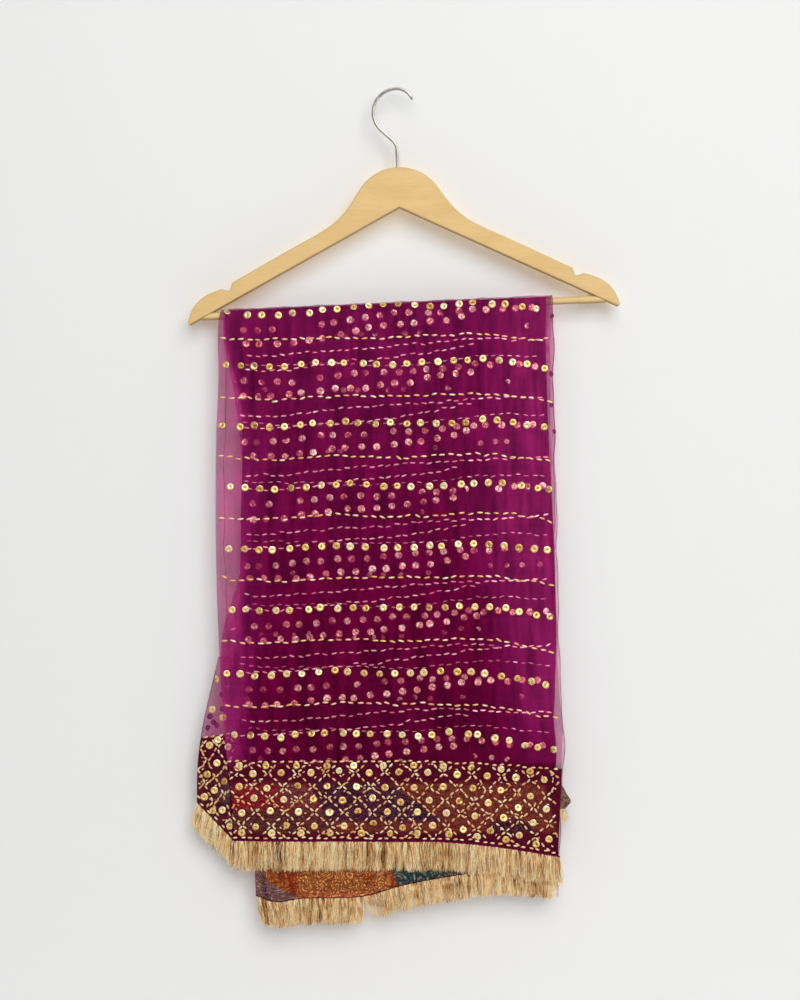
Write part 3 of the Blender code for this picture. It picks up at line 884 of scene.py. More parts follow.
def place_outer(u, v):
    share = length_share(np.clip(v / (1 - CLOSING_ROWS), 0, 1))
    outer_across = np.clip(1 - u / (0.5 - FOLD_SHARE), 0, 1)
    base_across = np.clip((u - 0.5 - FOLD_SHARE) / (0.5 - FOLD_SHARE), 0, 1)
    along_o, run_o, down_o = hang_leaf(OUTER, outer_across, share, front_hem)
    along_b, run_b, down_b = hang_leaf(BASE, base_across, share, base_hem)
    along_o = along_o + edge_sway(down_o) * smooth_step(outer_across * 8 - 7)
    along_b = along_b - edge_sway(down_b) * smooth_step(base_across * 8 - 7)
    outer, base = OUTER.point(along_o, run_o), BASE.point(along_b, run_b)
    turn = np.clip((u - 0.5 + FOLD_SHARE) / (2 * FOLD_SHARE), 0, 1) * np.pi
    folded = mix(outer, base, ((1 - np.cos(turn)) / 2)[:, None])
    folded[:, 0] -= np.sin(turn) * np.abs(outer[:, 1] - base[:, 1]) / 2
    on_base = (u > 0.5).astype(float)
    close_up(folded, np.clip((v - 1 + CLOSING_ROWS) / CLOSING_ROWS, 0, 1), TURN_IN + TURN_IN_BASE * on_base)
    flat_across = LEAF_WIDTH * np.where(u < 0.5, 1 - outer_across, 2 - base_across)
    run = np.where(u < 0.5, run_o, run_b)
    tone = light_through(folded[:, 0], run, -folded[:, 2])
    return folded, np.stack([flat_across, run], axis=1), tone


def close_up(points, turned, inner_out):
    """Roll the last rows inwards round the fold at mid-length."""
    rolled = turned > 0
    radius = np.maximum(points[rolled, 1] - inner_out[rolled], TIGHTEST_TURN) / 2
    angle = turned[rolled] * np.pi
    points[rolled, 1] -= radius * (1 - np.cos(angle))
    points[rolled, 2] -= radius * np.sin(angle)


stole_outer = sheet_from_grid("stole_outer_leaf", 150, 260, place_outer, sheer_organza)
stole_outer.data.materials.append(close_organza)
flat_layer = stole_outer.data.uv_layers["flat"].data
for face in stole_outer.data.polygons:
    on_base = flat_layer[face.loop_start].uv[0] > LEAF_WIDTH
    face.material_index = int(on_base)

# %% [markdown]
# ## The flap and the hidden leaves
# The third part of the width is folded in between the other two. Its rows of sequins are the dim ones that
# show through the outer leaf, and its right edge slants. Inside it all lies the other half of the stole's
# length, folded the same way: so many leaves that nothing shows through, and its end hangs lowest.

# %% Flap and core
GATHERED_TONE = 0.42


def place_flap(u, v):
    along, run, down = hang_leaf(FLAP, u, length_share(v), flap_hem)
    along = along + edge_sway(down + 0.3) * (smooth_step(u * 8 - 7) - smooth_step(1 - u * 8))
    points = FLAP.point(along, run)
    return points, np.stack([along, run], axis=1), light_through(along, run, down)


def place_core(u, v):
    along, run, _ = hang_leaf(CORE, u, length_share(v), inner_hem)
    points = CORE.point(along, run)
    return points, np.stack([along, run], axis=1), np.full(len(u), GATHERED_TONE)


stole_flap = sheet_from_grid("stole_flap_leaf", 60, 220, place_flap, sheer_organza)
stole_core = sheet_from_grid("stole_inner_leaves", 70, 220, place_core, gathered_organza)

# %% [markdown]
# ## The fold that opens at the lower left
# Low at the left the doubled edge is not pressed flat. It flares out as a small pleat of two leaves, and its
# hem runs up to the left. The grid goes in from the hidden side of the front leaf, round the outer fold and
# back. It is set back as it leaves the crease, so it throws no hard shadow.

# %% The flared pleat
PLEAT_OUTLINE = (
    Edges(0.585, -0.1835, -0.1808),
    Edges(0.610, -0.1892, -0.1795),
    Edges(0.656, -0.1996, -0.1765),
    Edges(0.692, -0.2047, -0.1735),
    Edges(0.736, -0.2058, -0.1700),
    Edges(0.775, -0.2058, -0.1672),
)
PLEAT_TOP = 0.585
PLEAT_INNER = -0.1600
PLEAT_HEM = (Line(-0.2058, 0.7358), Line(-0.1672, 0.7748))
PLEAT_BAND_TOP = (Line(-0.2058, 0.6700), Line(-0.1650, 0.6635))
PLEAT_BACK_OUT = 0.0012
PLEAT_FRONT_OUT = 0.0058
PLEAT_THICK = 0.0007
PLEAT_TURN = 0.06
PLEAT_GUESS = 0.76
PLEAT_BAND_BLUR = 0.004
# Painted light makes the pleat's two leaves pale, and painted shade darkens its band over the brocade.
PLEAT_PAINTED_LIGHT = 0.86
PLEAT_BAND_PAINTED_SHADE = 0.05
PLEAT_CREASES = (
    Crease(-0.1900, -0.09, 0.0110, 0.0012, 0.60, 1.0),
    Crease(-0.1790, -0.02, 0.0080, -0.0009, 0.64, 1.0),
)
pleat_left = curve(PLEAT_OUTLINE, "down", "left")
pleat_crease = curve(PLEAT_OUTLINE, "down", "right")


def straight(table):
    """The straight line through a table's two rows, level beyond its right end."""
    first, last = table
    slope = (last.down - first.down) / (last.along - first.along)
    return lambda along: first.down + slope * (np.minimum(along, last.along) - first.along)


pleat_hem = straight(PLEAT_HEM)
pleat_band_top = straight(PLEAT_BAND_TOP)


def pleat_point(along, down):
    """A point of the pleat's front leaf."""
    along, down = np.broadcast_arrays(np.asarray(along, float), np.asarray(down, float))
    left = pleat_left(down)
    across = np.clip((along - left) / (pleat_crease(down) - left), 0, 1)
    out = mix(PLEAT_BACK_OUT, PLEAT_FRONT_OUT, across) + relief(PLEAT_CREASES, along, down) * across
    return np.stack([along, -out, -down], axis=-1)


def place_pleat(u, v):
    inwards = np.abs(2 * u - 1)
    down = mix(PLEAT_TOP, PLEAT_GUESS, v)
    for _ in range(SETTLING_ROUNDS):
        along = mix(pleat_left(down), PLEAT_INNER, inwards)
        down = mix(PLEAT_TOP, pleat_hem(along), v)
    points = pleat_point(along, down)
    back = np.where(u > 0.5, 1.0, 0.0) * 2 * PLEAT_THICK
    points[:, 1] += back * np.clip(inwards / PLEAT_TURN, 0, 1)
    on_band = smooth_step((down - pleat_band_top(along)) / PLEAT_BAND_BLUR)
    tone = mix(PLEAT_PAINTED_LIGHT, PLEAT_BAND_PAINTED_SHADE, on_band)
    return points, np.stack([along * (1 - 2 * (u > 0.5)), down], axis=1), tone


stole_pleat = sheet_from_grid("stole_pleat", 44, 96, place_pleat, sheer_organza)

# %% [markdown]
# ## Brocade
# The borders are backed with strips of brocade, pieced from offcuts: crimson, plum, rust, gold and teal. A
# brocade has its motifs woven in with extra wefts. The finish is a stack of patches, each with a ground and a
# motif colour, and slanted edges. Feathery fans stand round the points of a Voronoi texture: a spiral line
# wound round each point, cut into dashes by spokes. Between them run leaf lines, the contours of a soft
# noise, with sprays of them left out. A fine cross rib is the weft.

# %% Brocade patterns
Patch = namedtuple("Patch", "left right top bottom left_slant right_slant ground motif")
PLAIN = (0.180, 0.0016, 0.034)
SPOKES = 9.0
SWIRL = 14.0
ARCS = 5.5
RAGGED = 11.0
FAN_RADIUS = 0.52
HATCH_FROM = 0.50
HATCH_IN_NOISE = 26.0
MOTIF_SHIFT = 0.013
MOTIF_SHINE = 0.62
RIB_PITCH = 0.0006
MOTTLE = (0.5, 1, 1.6)
WORN_BROCADE = ((0.38, (0.46, 0.34, 0.46)), (0.60, CLEAN))


def coordinates(finish, tremble=0.0120):
    """Place along the bar and depth as two sockets, a little uneven for hand-cut patches."""
    parts = parts_of(finish, add_node(finish, "TexCoord").outputs["Object"])
    wander = add_node(finish, "TexNoise", Scale=260.0, Detail=4.0)
    shift = worked_out(finish, "MULTIPLY_ADD", wander.outputs[0], tremble * 2, -tremble)
    along = worked_out(finish, "ADD", parts["X"], shift)
    down = worked_out(finish, "SUBTRACT", shift, parts["Z"])
    return along, down


def beyond(finish, value, edge, softness=0.0010):
    """0 before an edge and 1 past it. The edge is a number or a socket."""
    past = worked_out(finish, "DIVIDE", worked_out(finish, "SUBTRACT", value, edge), softness)
    share = add_node(finish, "Clamp")
    join(finish, past, share.inputs[0])
    return share.outputs[0]


def from_to(finish, value, first, last):
    """1 between two edges and 0 outside them."""
    return worked_out(finish, "SUBTRACT", beyond(finish, value, first), beyond(finish, value, last))


def patch_mask(finish, along, down, patch):
    """1 inside a patch, whose sides may slant."""
    lower = worked_out(finish, "SUBTRACT", down, patch.top)
    first = worked_out(finish, "MULTIPLY_ADD", lower, patch.left_slant, patch.left)
    last = worked_out(finish, "MULTIPLY_ADD", lower, patch.right_slant, patch.right)
    across = from_to(finish, along, first, last)
    height = from_to(finish, down, patch.top, patch.bottom)
    return worked_out(finish, "MAXIMUM", worked_out(finish, "MULTIPLY", across, height), 0.0)


def flowers(finish, size, seed_shift):
    """A mask of dashed fans and leaf lines, 1 on the motif."""
    shifted = add_node(finish, "VectorMath", operation="ADD")
    join(finish, object_place(finish, (1, 0.0, 1)), shifted.inputs[0])
    shifted.inputs[1].default_value = (seed_shift, 0, seed_shift * 0.7)
    place = shifted.outputs[0]
    cells = add_node(finish, "TexVoronoi", Scale=1 / size, Randomness=0.55)
    join(finish, place, cells.inputs["Vector"])
    arm = add_node(finish, "VectorMath", operation="SUBTRACT")
    join(finish, place, arm.inputs[0])
    join(finish, cells.outputs["Position"], arm.inputs[1])
    sides = parts_of(finish, arm.outputs[0])
    angle = worked_out(finish, "ARCTAN2", sides["Z"], sides["X"])
    away = cells.outputs["Distance"]
    swirl = worked_out(finish, "MULTIPLY_ADD", away, SWIRL, worked_out(finish, "MULTIPLY", angle, SPOKES))
    spokes = beyond(finish, worked_out(finish, "SINE", swirl), -0.5, 0.7)
    rings = worked_out(finish, "MULTIPLY_ADD", away, ARCS * 2 * math.pi, angle)
    rings = worked_out(finish, "MULTIPLY_ADD", noise(finish, place, 6.0 / size, 3.0), RAGGED, rings)
    arcs = beyond(finish, worked_out(finish, "SINE", rings), -0.3, 0.9)
    fan = worked_out(finish, "MULTIPLY", spokes, arcs)
    fan = worked_out(finish, "MULTIPLY", fan, beyond(finish, FAN_RADIUS, away, 0.05))
    flow = noise(finish, place, 0.45 / size, 1.0)
    rows = worked_out(finish, "MULTIPLY", flow, HATCH_IN_NOISE * 2 * math.pi)
    hatch = beyond(finish, worked_out(finish, "SINE", rows), 0.0, 0.6)
    sprays = noise(finish, place, 3.0 / size, 2.0)
    hatch = worked_out(finish, "MULTIPLY", hatch, beyond(finish, sprays, 0.42, 0.16))
    hatch = worked_out(finish, "MULTIPLY", hatch, beyond(finish, away, HATCH_FROM, 0.06))
    return worked_out(finish, "MAXIMUM", fan, hatch)


def brocade_finish(name, patches, motif_size, gloss):
    finish, shader = new_finish(name, 0.5)
    along, down = coordinates(finish)
    motif = flowers(finish, motif_size, len(patches) * MOTIF_SHIFT)
    colour = PLAIN
    for patch in patches:
        dyed = blended(finish, motif, patch.ground, patch.motif)
        colour = blended(finish, patch_mask(finish, along, down, patch), colour, dyed)
    worn = ramp(finish, noise(finish, object_place(finish, MOTTLE), 300.0, 4.0), WORN_BROCADE)
    join(finish, blended(finish, 0.9, colour, worn, "MULTIPLY"), shader.inputs["Base Color"])
    rib = add_node(finish, "TexWave", Scale=WAVES_IN_ONE / RIB_PITCH, bands_direction="Z")
    join(finish, object_place(finish), rib.inputs["Vector"])
    height = worked_out(finish, "MULTIPLY_ADD", motif, 1.4, rib.outputs["Fac"])
    raised(finish, shader, height, 0.4, 0.0003)
    uneven_gloss(finish, shader, motif, -gloss, MOTIF_SHINE)
    shader.inputs["Specular IOR Level"].default_value = 0.12
    return finish


FRONT_PATCHES = (
    Patch(-0.20, 0.1520, 0.7150, 0.7650, 0.0, 0.25, (0.400, 0.058, 0.030), (0.680, 0.250, 0.120)),
    Patch(-0.20, -0.0085, 0.7150, 0.7540, 0.0, 1.5, (0.052, 0.016, 0.075), (0.330, 0.170, 0.130)),
    Patch(-0.20, -0.0930, 0.7150, 0.7560, 0.0, 0.65, (0.600, 0.007, 0.034), (0.640, 0.190, 0.130)),
    Patch(-0.20, -0.1490, 0.7150, 0.7430, 0.0, 0.2, (0.660, 0.005, 0.030), (0.620, 0.130, 0.100)),
    Patch(-0.1230, -0.0960, 0.7150, 0.7450, 0.4, 0.65, (0.400, 0.060, 0.065), (0.640, 0.330, 0.260)),
    Patch(-0.20, -0.0760, 0.7420, 0.7650, 0.0, 0.65, (0.190, 0.050, 0.040), (0.450, 0.210, 0.140)),
    Patch(0.0980, 0.1300, 0.7520, 0.7650, -0.5, 0.9, (0.045, 0.014, 0.055), (0.320, 0.190, 0.120)),
)
INNER_PATCHES = (
    Patch(-0.16, 0.20, 0.74, 0.86, 0.0, 0.0, (0.301, 0.077, 0.013), (0.922, 0.422, 0.115)),
    Patch(-0.16, 0.20, 0.8262, 0.86, 0.0, 0.0, (0.422, 0.096, 0.023), (0.947, 0.448, 0.166)),
    Patch(-0.16, 0.20, 0.8248, 0.8262, 0.0, 0.0, (0.115, 0.026, 0.008), (0.256, 0.102, 0.038)),
    Patch(-0.137, -0.103, 0.790, 0.833, 0.12, 0.10, (0.307, 0.058, 0.008), (0.614, 0.192, 0.028)),
    Patch(-0.129, -0.122, 0.790, 0.818, 0.35, 0.25, (0.141, 0.010, 0.004), (0.333, 0.051, 0.013)),
    Patch(-0.114, -0.104, 0.790, 0.834, 0.05, 0.02, (0.243, 0.023, 0.003), (0.461, 0.090, 0.013)),
    Patch(-0.040, -0.029, 0.806, 0.822, 0.55, 0.55, (0.256, 0.028, 0.005), (0.614, 0.218, 0.051)),
    Patch(-0.015, -0.005, 0.790, 0.860, 0.20, 0.20, (0.307, 0.041, 0.005), (0.563, 0.160, 0.028)),
    Patch(-0.010, 0.20, 0.790, 0.860, 0.35, 0.0, (0.022, 0.046, 0.042), (0.350, 0.300, 0.200)),
    Patch(-0.001, 0.012, 0.800, 0.822, 0.90, 0.20, (0.004, 0.046, 0.054), (0.090, 0.192, 0.166)),
    Patch(-0.160, -0.1375, 0.790, 0.860, 0.12, 0.15, (0.192, 0.083, 0.064), (0.435, 0.243, 0.179)),
    Patch(-0.160, -0.1290, 0.8180, 0.860, 0.00, 1.80, (0.179, 0.082, 0.067), (0.422, 0.250, 0.198)),
    Patch(-0.1395, -0.1365, 0.8080, 0.8360, 0.14, 0.16, (0.026, 0.005, 0.032), (0.064, 0.015, 0.064)),
)
CORNER_PATCHES = (
    Patch(0.10, 0.20, 0.68, 0.80, 0.0, 0.0, (0.200, 0.095, 0.060), (0.560, 0.370, 0.200)),
)
PLEAT_PATCHES = (
    Patch(-0.22, -0.150, 0.700, 0.790, 0.0, 0.0, (0.150, 0.016, 0.034), (0.300, 0.090, 0.090)),
    Patch(-0.178, -0.150, 0.712, 0.735, -0.4, 0.0, (0.110, 0.070, 0.100), (0.420, 0.360, 0.380)),
)
border_brocade = brocade_finish("pieced brocade, border", FRONT_PATCHES, 0.0105, 0.15)
inner_brocade = brocade_finish("pieced brocade, wrong side", INNER_PATCHES, 0.0150, 0.20)
corner_brocade = brocade_finish("gold brocade", CORNER_PATCHES, 0.0080, 0.20)
pleat_brocade = brocade_finish("plum brocade", PLEAT_PATCHES, 0.0100, 0.15)
print("four brocades")

# %% [markdown]
# ## The border strips
# The front border's backing lies just behind the outer leaf. The inner end is seen from its own side, where
# the backing faces us. A corner of another end peeks out at the lower right. Each is a patch of cloth on a
# leaf of its own reach, from its top line down to its hem.

# %% Border strips
BAND_TOP = (
    Line(-0.2100, 0.6925),
    Line(-0.0600, 0.6930),
    Line(0.0300, 0.6928),
    Line(0.0890, 0.6950),
    Line(0.1600, 0.7000),
)
CORNER_OUTLINE = (
    Edges(0.712, 0.1500, 0.1680),
    Edges(0.725, 0.1500, 0.1752),
    Edges(0.737, 0.1500, 0.1800),
    Edges(0.743, 0.1500, 0.1740),
)
CORNER_HEM = (Line(0.150, 0.743), Line(0.174, 0.743), Line(0.180, 0.737))
CORNER_LEFT = 0.150
CORNER_TOP = 0.712
BORDER_HEIGHT_DOWN = 0.75
SIDE_INSET = 0.0006
HEM_INSET = 0.0008
BACKING_TONE = 0.25
PLEAT_BACKING_TONE = 0.2
PLEAT_BACKING_LEFT = -0.2045
PLEAT_BACKING_BEHIND = 0.9
BACKING_REACH_GAP = 0.0004
BACKING = Leaf(OUTER.reach - BACKING_REACH_GAP, 0.0021, OUTER_FRONT, OUTER_BACK, *CREASED)
INNER_FACE = Leaf(0.0054, 0.0002, CORE_FRONT, CORE_BACK, *BILLOWED)
CORNER = Leaf(0.0039, 0.0, CORE_FRONT, CORE_BACK, (), ())
INNER_FACE_TOP = 0.7560


def front_patch(leaf, left, right, top, hem):
    """A placing function for a patch in front, between two side lines, a top line and a hem."""

    def place(u, v):
        along = mix(left(BORDER_HEIGHT_DOWN), right(BORDER_HEIGHT_DOWN), u)
        for _ in range(SETTLING_ROUNDS):
            down = mix(top(along), hem(along), v)
            along = mix(left(down), right(down), u)
        run = leaf.run_at(along, down)
        return leaf.point(along, run), np.stack([along, run], axis=1), np.full(len(u), BACKING_TONE)

    return place


outer_left, outer_right = OUTER.edges["front"]
core_left, core_right = CORE.edges["front"]
band_top = curve(BAND_TOP, "along", "down")
backing_sides = moved(outer_left, SIDE_INSET), moved(outer_right, -SIDE_INSET)
border_backing = sheet_from_grid(
    "border_backing", 110, 26,
    front_patch(BACKING, *backing_sides, band_top, moved(front_hem, -HEM_INSET)),
    border_brocade,
)
inner_backing = sheet_from_grid(
    "inner_end_backing", 110, 24,
    front_patch(INNER_FACE, core_left, core_right, level(INNER_FACE_TOP), inner_hem),
    inner_brocade,
)


def corner_hem(along):
    places, depths = zip(*CORNER_HEM)
    return np.interp(along, places, depths)


corner_right = curve(CORNER_OUTLINE, "down", "right")
corner_piece = sheet_from_grid(
    "right_corner_cloth", 14, 16,
    front_patch(CORNER, level(CORNER_LEFT), corner_right, level(CORNER_TOP), corner_hem),
    corner_brocade,
)


def place_pleat_backing(u, v):
    along = mix(PLEAT_BACKING_LEFT, PLEAT_INNER, u)
    for _ in range(SETTLING_ROUNDS):
        down = mix(pleat_band_top(along), pleat_hem(along) - HEM_INSET, v)
        along = mix(pleat_left(down) + SIDE_INSET, PLEAT_INNER, u)
    points = pleat_point(along, down)
    points[:, 1] += PLEAT_THICK * PLEAT_BACKING_BEHIND
    return points, np.stack([along, down], axis=1), np.full(len(u), PLEAT_BACKING_TONE)


pleat_backing = sheet_from_grid("pleat_backing", 20, 30, place_pleat_backing, pleat_brocade)

# %% [markdown]
# ## Hems and edges
# Every raw edge is rolled: the cloth turns over twice and is whipped down, which leaves a thin dark cord. A
# roll is a narrow grid whose first number goes once round the cord and whose second goes along the edge.

# %% Rolled edges
HEM_RADIUS = 0.0010
EDGE_RADIUS = 0.00045
THIN_EDGE_RADIUS = EDGE_RADIUS * 0.8
ROLL_FLATNESS = 0.8
FULL_TURN = 6.28
PLEAT_SIDE = (0.600, 0.7355)
PLEAT_SIDE_INSET = 0.0004
FOLD_LINE_ACROSS = 0.022


def rolled_edge(name, axes_at, way, radius, rows, tone, finish=gathered_organza):
    """A rolled edge. axes_at gives places along it for 0 to 1, and way is the direction across it."""

    def place(u, v):
        axes = axes_at(v)
        around = u * 2 * np.pi
        size = radius * (1 + 0.12 * np.sin(v * 310) + 0.08 * np.sin(v * 731))
        points = axes.here + (size * np.cos(around))[:, None] * axes.outwards * ROLL_FLATNESS
        points = points + (size * np.sin(around))[:, None] * getattr(axes, way)
        return points, np.stack([u * radius * FULL_TURN, v * 0.5], axis=1), np.full(len(u), tone)

    return sheet_from_grid(name, 7, rows, place, finish)


def along_hem(leaf, hem, first, last):
    """Places along a leaf's hem."""

    def axes_at(v):
        along = mix(first, last, v)
        return axes_of(leaf.point, along, leaf.run_at(along, hem(along)))

    return axes_at


def along_side(leaf, across, hem):
    """Places all the way along a leaf's side."""

    def axes_at(v):
        along, run, down = hang_leaf(leaf, np.full(len(v), across), length_share(v), hem)
        return axes_of(leaf.point, along + edge_sway(down), run)

    return axes_at


def along_pleat_hem(first, last):
    """Places along the pleat's hem."""

    def axes_at(v):
        along = mix(first, last, v)
        return axes_of(pleat_point, along, pleat_hem(along))

    return axes_at


def pleat_side(v):
    """Places down the pleat's left edge."""
    down = mix(*PLEAT_SIDE, v)
    return axes_of(pleat_point, pleat_left(down) + PLEAT_SIDE_INSET, down)


front_hem_places = along_hem(OUTER, front_hem, -0.1668, 0.1686)
inner_hem_places = along_hem(INNER_FACE, inner_hem, -0.1445, 0.1620)
pleat_hem_places = along_pleat_hem(-0.2054, -0.1670)
outer_side = along_side(OUTER, 1.0, front_hem)
flap_side = along_side(FLAP, 1.0, flap_hem)
fold_side = along_side(BASE, FOLD_LINE_ACROSS, flap_hem)
# The last number of each roll is its tone of dye with painted light: low on the hems, and higher on the side
# rolls that hang against the light.
rolls = (
    rolled_edge("front_hem_roll", front_hem_places, "lower", HEM_RADIUS, 240, 0.20),
    rolled_edge("inner_hem_roll", inner_hem_places, "lower", HEM_RADIUS * 0.7, 220, 0.05),
    rolled_edge("pleat_hem_roll", pleat_hem_places, "lower", HEM_RADIUS * 0.8, 40, 0.15),
    rolled_edge("outer_edge_roll", outer_side, "across", EDGE_RADIUS, 420, 0.9, close_organza),
    rolled_edge("flap_edge_roll", flap_side, "across", THIN_EDGE_RADIUS, 360, 0.6, close_organza),
    rolled_edge("fold_line", fold_side, "across", THIN_EDGE_RADIUS, 360, 0.55, close_organza),
    rolled_edge("pleat_edge_roll", pleat_side, "across", EDGE_RADIUS, 60, 0.5, close_organza),
)

# %% [markdown]
# ## Sequins and stitches
# A sequin is a small cupped disc of gilt film with a hole in its middle. It is modelled once: a ring of
# twelve edges, extruded inwards three times, up over the rim and then down into the cup. A stitch is a short
# fat spindle of metallic thread. Each is then copied to its places and the copies are joined into one mesh,
# because a thousand objects would be slow. Each copy is turned and tilted a little, so every one catches the
# light in its own way. A shade goes with every point: a tone for the copy, darker at the hole, painted shade
# along the side that faces down, and uneven at random where the film is crumpled, partly its own tone and
# partly painted glints.

# %% Model one sequin and one stitch
SEQUIN_RADIUS = 0.0038
SEQUIN_SIDES = 12
STITCH_LENGTH = 0.0068
STITCH_WIDTH = 0.0019
STITCH_HEIGHT = 0.0009
CUP_STEPS = ((0.90, 0.00030), (0.60, -0.00022), (0.26, -0.00038))
RIM_LIFT = 0.00045
PRESSED_FLAT = 0.3


def take_mesh(shape):
    """The points and faces of a modelled shape, which is then removed. Edit mode gives the faces back in
    any order, so they are sorted."""
    points = np.array([vertex.co[:] for vertex in shape.data.vertices])
    faces = sorted(tuple(face.vertices) for face in shape.data.polygons)
    bpy.data.objects.remove(shape)
    return points, faces


def one_sequin():
    bpy.ops.object.select_all(action="DESELECT")
    bpy.ops.mesh.primitive_circle_add(vertices=SEQUIN_SIDES, radius=SEQUIN_RADIUS, fill_type="NOTHING")
    bpy.ops.object.mode_set(mode="EDIT")
    bpy.ops.mesh.select_all(action="SELECT")
    for shrink, rise in CUP_STEPS:
        bpy.ops.mesh.extrude_region_move()
        bpy.ops.transform.resize(value=(shrink, shrink, 1))
        bpy.ops.transform.translate(value=(0, 0, rise))
    bpy.ops.mesh.select_all(action="SELECT")
    bpy.ops.transform.translate(value=(0, 0, RIM_LIFT))
    bpy.ops.object.mode_set(mode="OBJECT")
    if bpy.context.object.data.polygons[0].normal.z < 0:
        bpy.context.object.data.flip_normals()
    return take_mesh(bpy.context.object)


def one_stitch():
    bpy.ops.object.select_all(action="DESELECT")
    bpy.ops.mesh.primitive_uv_sphere_add(segments=6, ring_count=4, radius=0.5)
    bpy.ops.object.mode_set(mode="EDIT")
    bpy.ops.mesh.select_all(action="SELECT")
    bpy.ops.transform.rotate(value=math.radians(90), orient_axis="Y", center_override=(0, 0, 0))
    bpy.ops.transform.resize(value=(STITCH_LENGTH, STITCH_WIDTH, STITCH_HEIGHT))
    bpy.ops.object.mode_set(mode="OBJECT")
    return take_mesh(bpy.context.object)


sequin_shape, stitch_shape = one_sequin(), one_stitch()
pressed_shape = sequin_shape[0] * (1, 1, PRESSED_FLAT), sequin_shape[1]
print("a sequin has", len(sequin_shape[1]), "faces and a stitch", len(stitch_shape[1]))

# %% Helper: sew copies on
TILT = 0.15
HOLE_RADIUS = 0.0007
HOLE_SHADE = 0.30
PAINTED_LOW_SIDE_SHADE = 0.42
SIZE_SPREAD = 0.035
COPY_SHADES = (0.38, 0.95)


def joined_copies(name, spots, faces, shade, finish):
    """One mesh from copies of a shape. spots is (copies, points, 3), shade (copies, points)."""
    count, size, _ = spots.shape
    joined = []
    for first in range(0, count * size, size):
        joined += [tuple(corner + first for corner in face) for face in faces]
    mesh = bpy.data.meshes.new(name)
    mesh.from_pydata(spots.reshape(-1, 3).tolist(), [], joined)
    write_colours(mesh, "shade", shade.ravel())
    mesh.shade_smooth()
    mesh.materials.append(finish)
    piece = bpy.data.objects.new(name, mesh)
    bpy.context.scene.collection.objects.link(piece)
    print(name, count, "copies")
    return piece


def sew_on(
    name, shape, places, finish, spin=None, lift=0.0, size=(1.0, 1.0), tilt=TILT, grit=0.10,
    hole=HOLE_SHADE, dim=0.0, seed=1,
):
    """Copies of a shape on the cloth. places is (points, across, lower, outwards)."""
    points, across, lower, outwards = places
    chance = np.random.default_rng(seed)
    count = len(points)
    turn = chance.uniform(0, 2 * np.pi, count) if spin is None else spin
    cos, sin = np.cos(turn)[:, None], np.sin(turn)[:, None]
    along = across * cos + lower * sin
    over = lower * cos - across * sin
    lean_along = chance.normal(0, tilt, (count, 1))
    lean_over = chance.normal(0, tilt, (count, 1))
    leaning = unit(outwards + lean_along * along + lean_over * over)
    along = unit(along - leaning * np.sum(along * leaning, axis=1, keepdims=True))
    over = np.cross(leaning, along)
    grown = 1 + chance.normal(0, SIZE_SPREAD, (count, 1, 1))
    local, faces = shape
    x, y, z = (local[None, :, axis, None] * grown for axis in range(3))
    spots = points[:, None] + size[0] * x * along[:, None] + size[1] * y * over[:, None]
    spots = spots + z * leaning[:, None] + lift * outwards[:, None]
    radius = np.linalg.norm(local[:, :2], axis=1)
    height = (spots[:, :, 2] - points[:, None, 2]) / radius.max()
    shade = chance.uniform(*COPY_SHADES, (count, 1)) - dim + chance.normal(0, grit, (count, len(local)))
    # Darker at the hole, and painted shade on the side that faces down.
    shade = shade - hole * (radius < HOLE_RADIUS) - PAINTED_LOW_SIDE_SHADE * smooth_step(-height * 1.6 - 0.6)
    return joined_copies(name, spots, faces, np.clip(shade, 0, 1), finish)


# %% [markdown]
# ## Gilt film and metallic thread
# Gilt film is a smooth metal coat that mirrors the room softly, from deep yellow to nearly white. Sequins
# on the hidden leaves are painted rosy, which stands in for the purple light that passes through the leaves
# in front. Film and metallic thread mirror more light back out through the mesh than a surface under it can
# give here. So, as painted light, the hidden sequins and stitches also shine in their own colour, at 0.7 to
# 1.4 of its strength, and the fringe does very slightly. In a dark room they would glow. Metallic thread is a
# flat gilt strip wound round a core, so fine bands cross it. Turned over, a sequin shows its dull dark back.

# %% Gilt finishes
WORN_FILM = ((0.32, (0.70, 0.60, 0.46)), (0.56, CLEAN))
GLOSS_SPREAD = 0.22


def gilt_finish(name, tones, roughness, metallic, grain, depth, glow=0.0):
    finish, shader = new_finish(name, roughness, metallic)
    wear = noise(finish, object_place(finish), grain, 3.0)
    worn = ramp(finish, wear, WORN_FILM)
    colour = blended(finish, 1.0, ramp(finish, tone_of(finish, "shade"), tones), worn, "MULTIPLY")
    join(finish, colour, shader.inputs["Base Color"])
    if glow:
        join(finish, colour, shader.inputs["Emission Color"])
        shader.inputs["Emission Strength"].default_value = glow
    uneven_gloss(finish, shader, wear, GLOSS_SPREAD, roughness - GLOSS_SPREAD / 2)
    raised(finish, shader, wear, depth)
    return finish


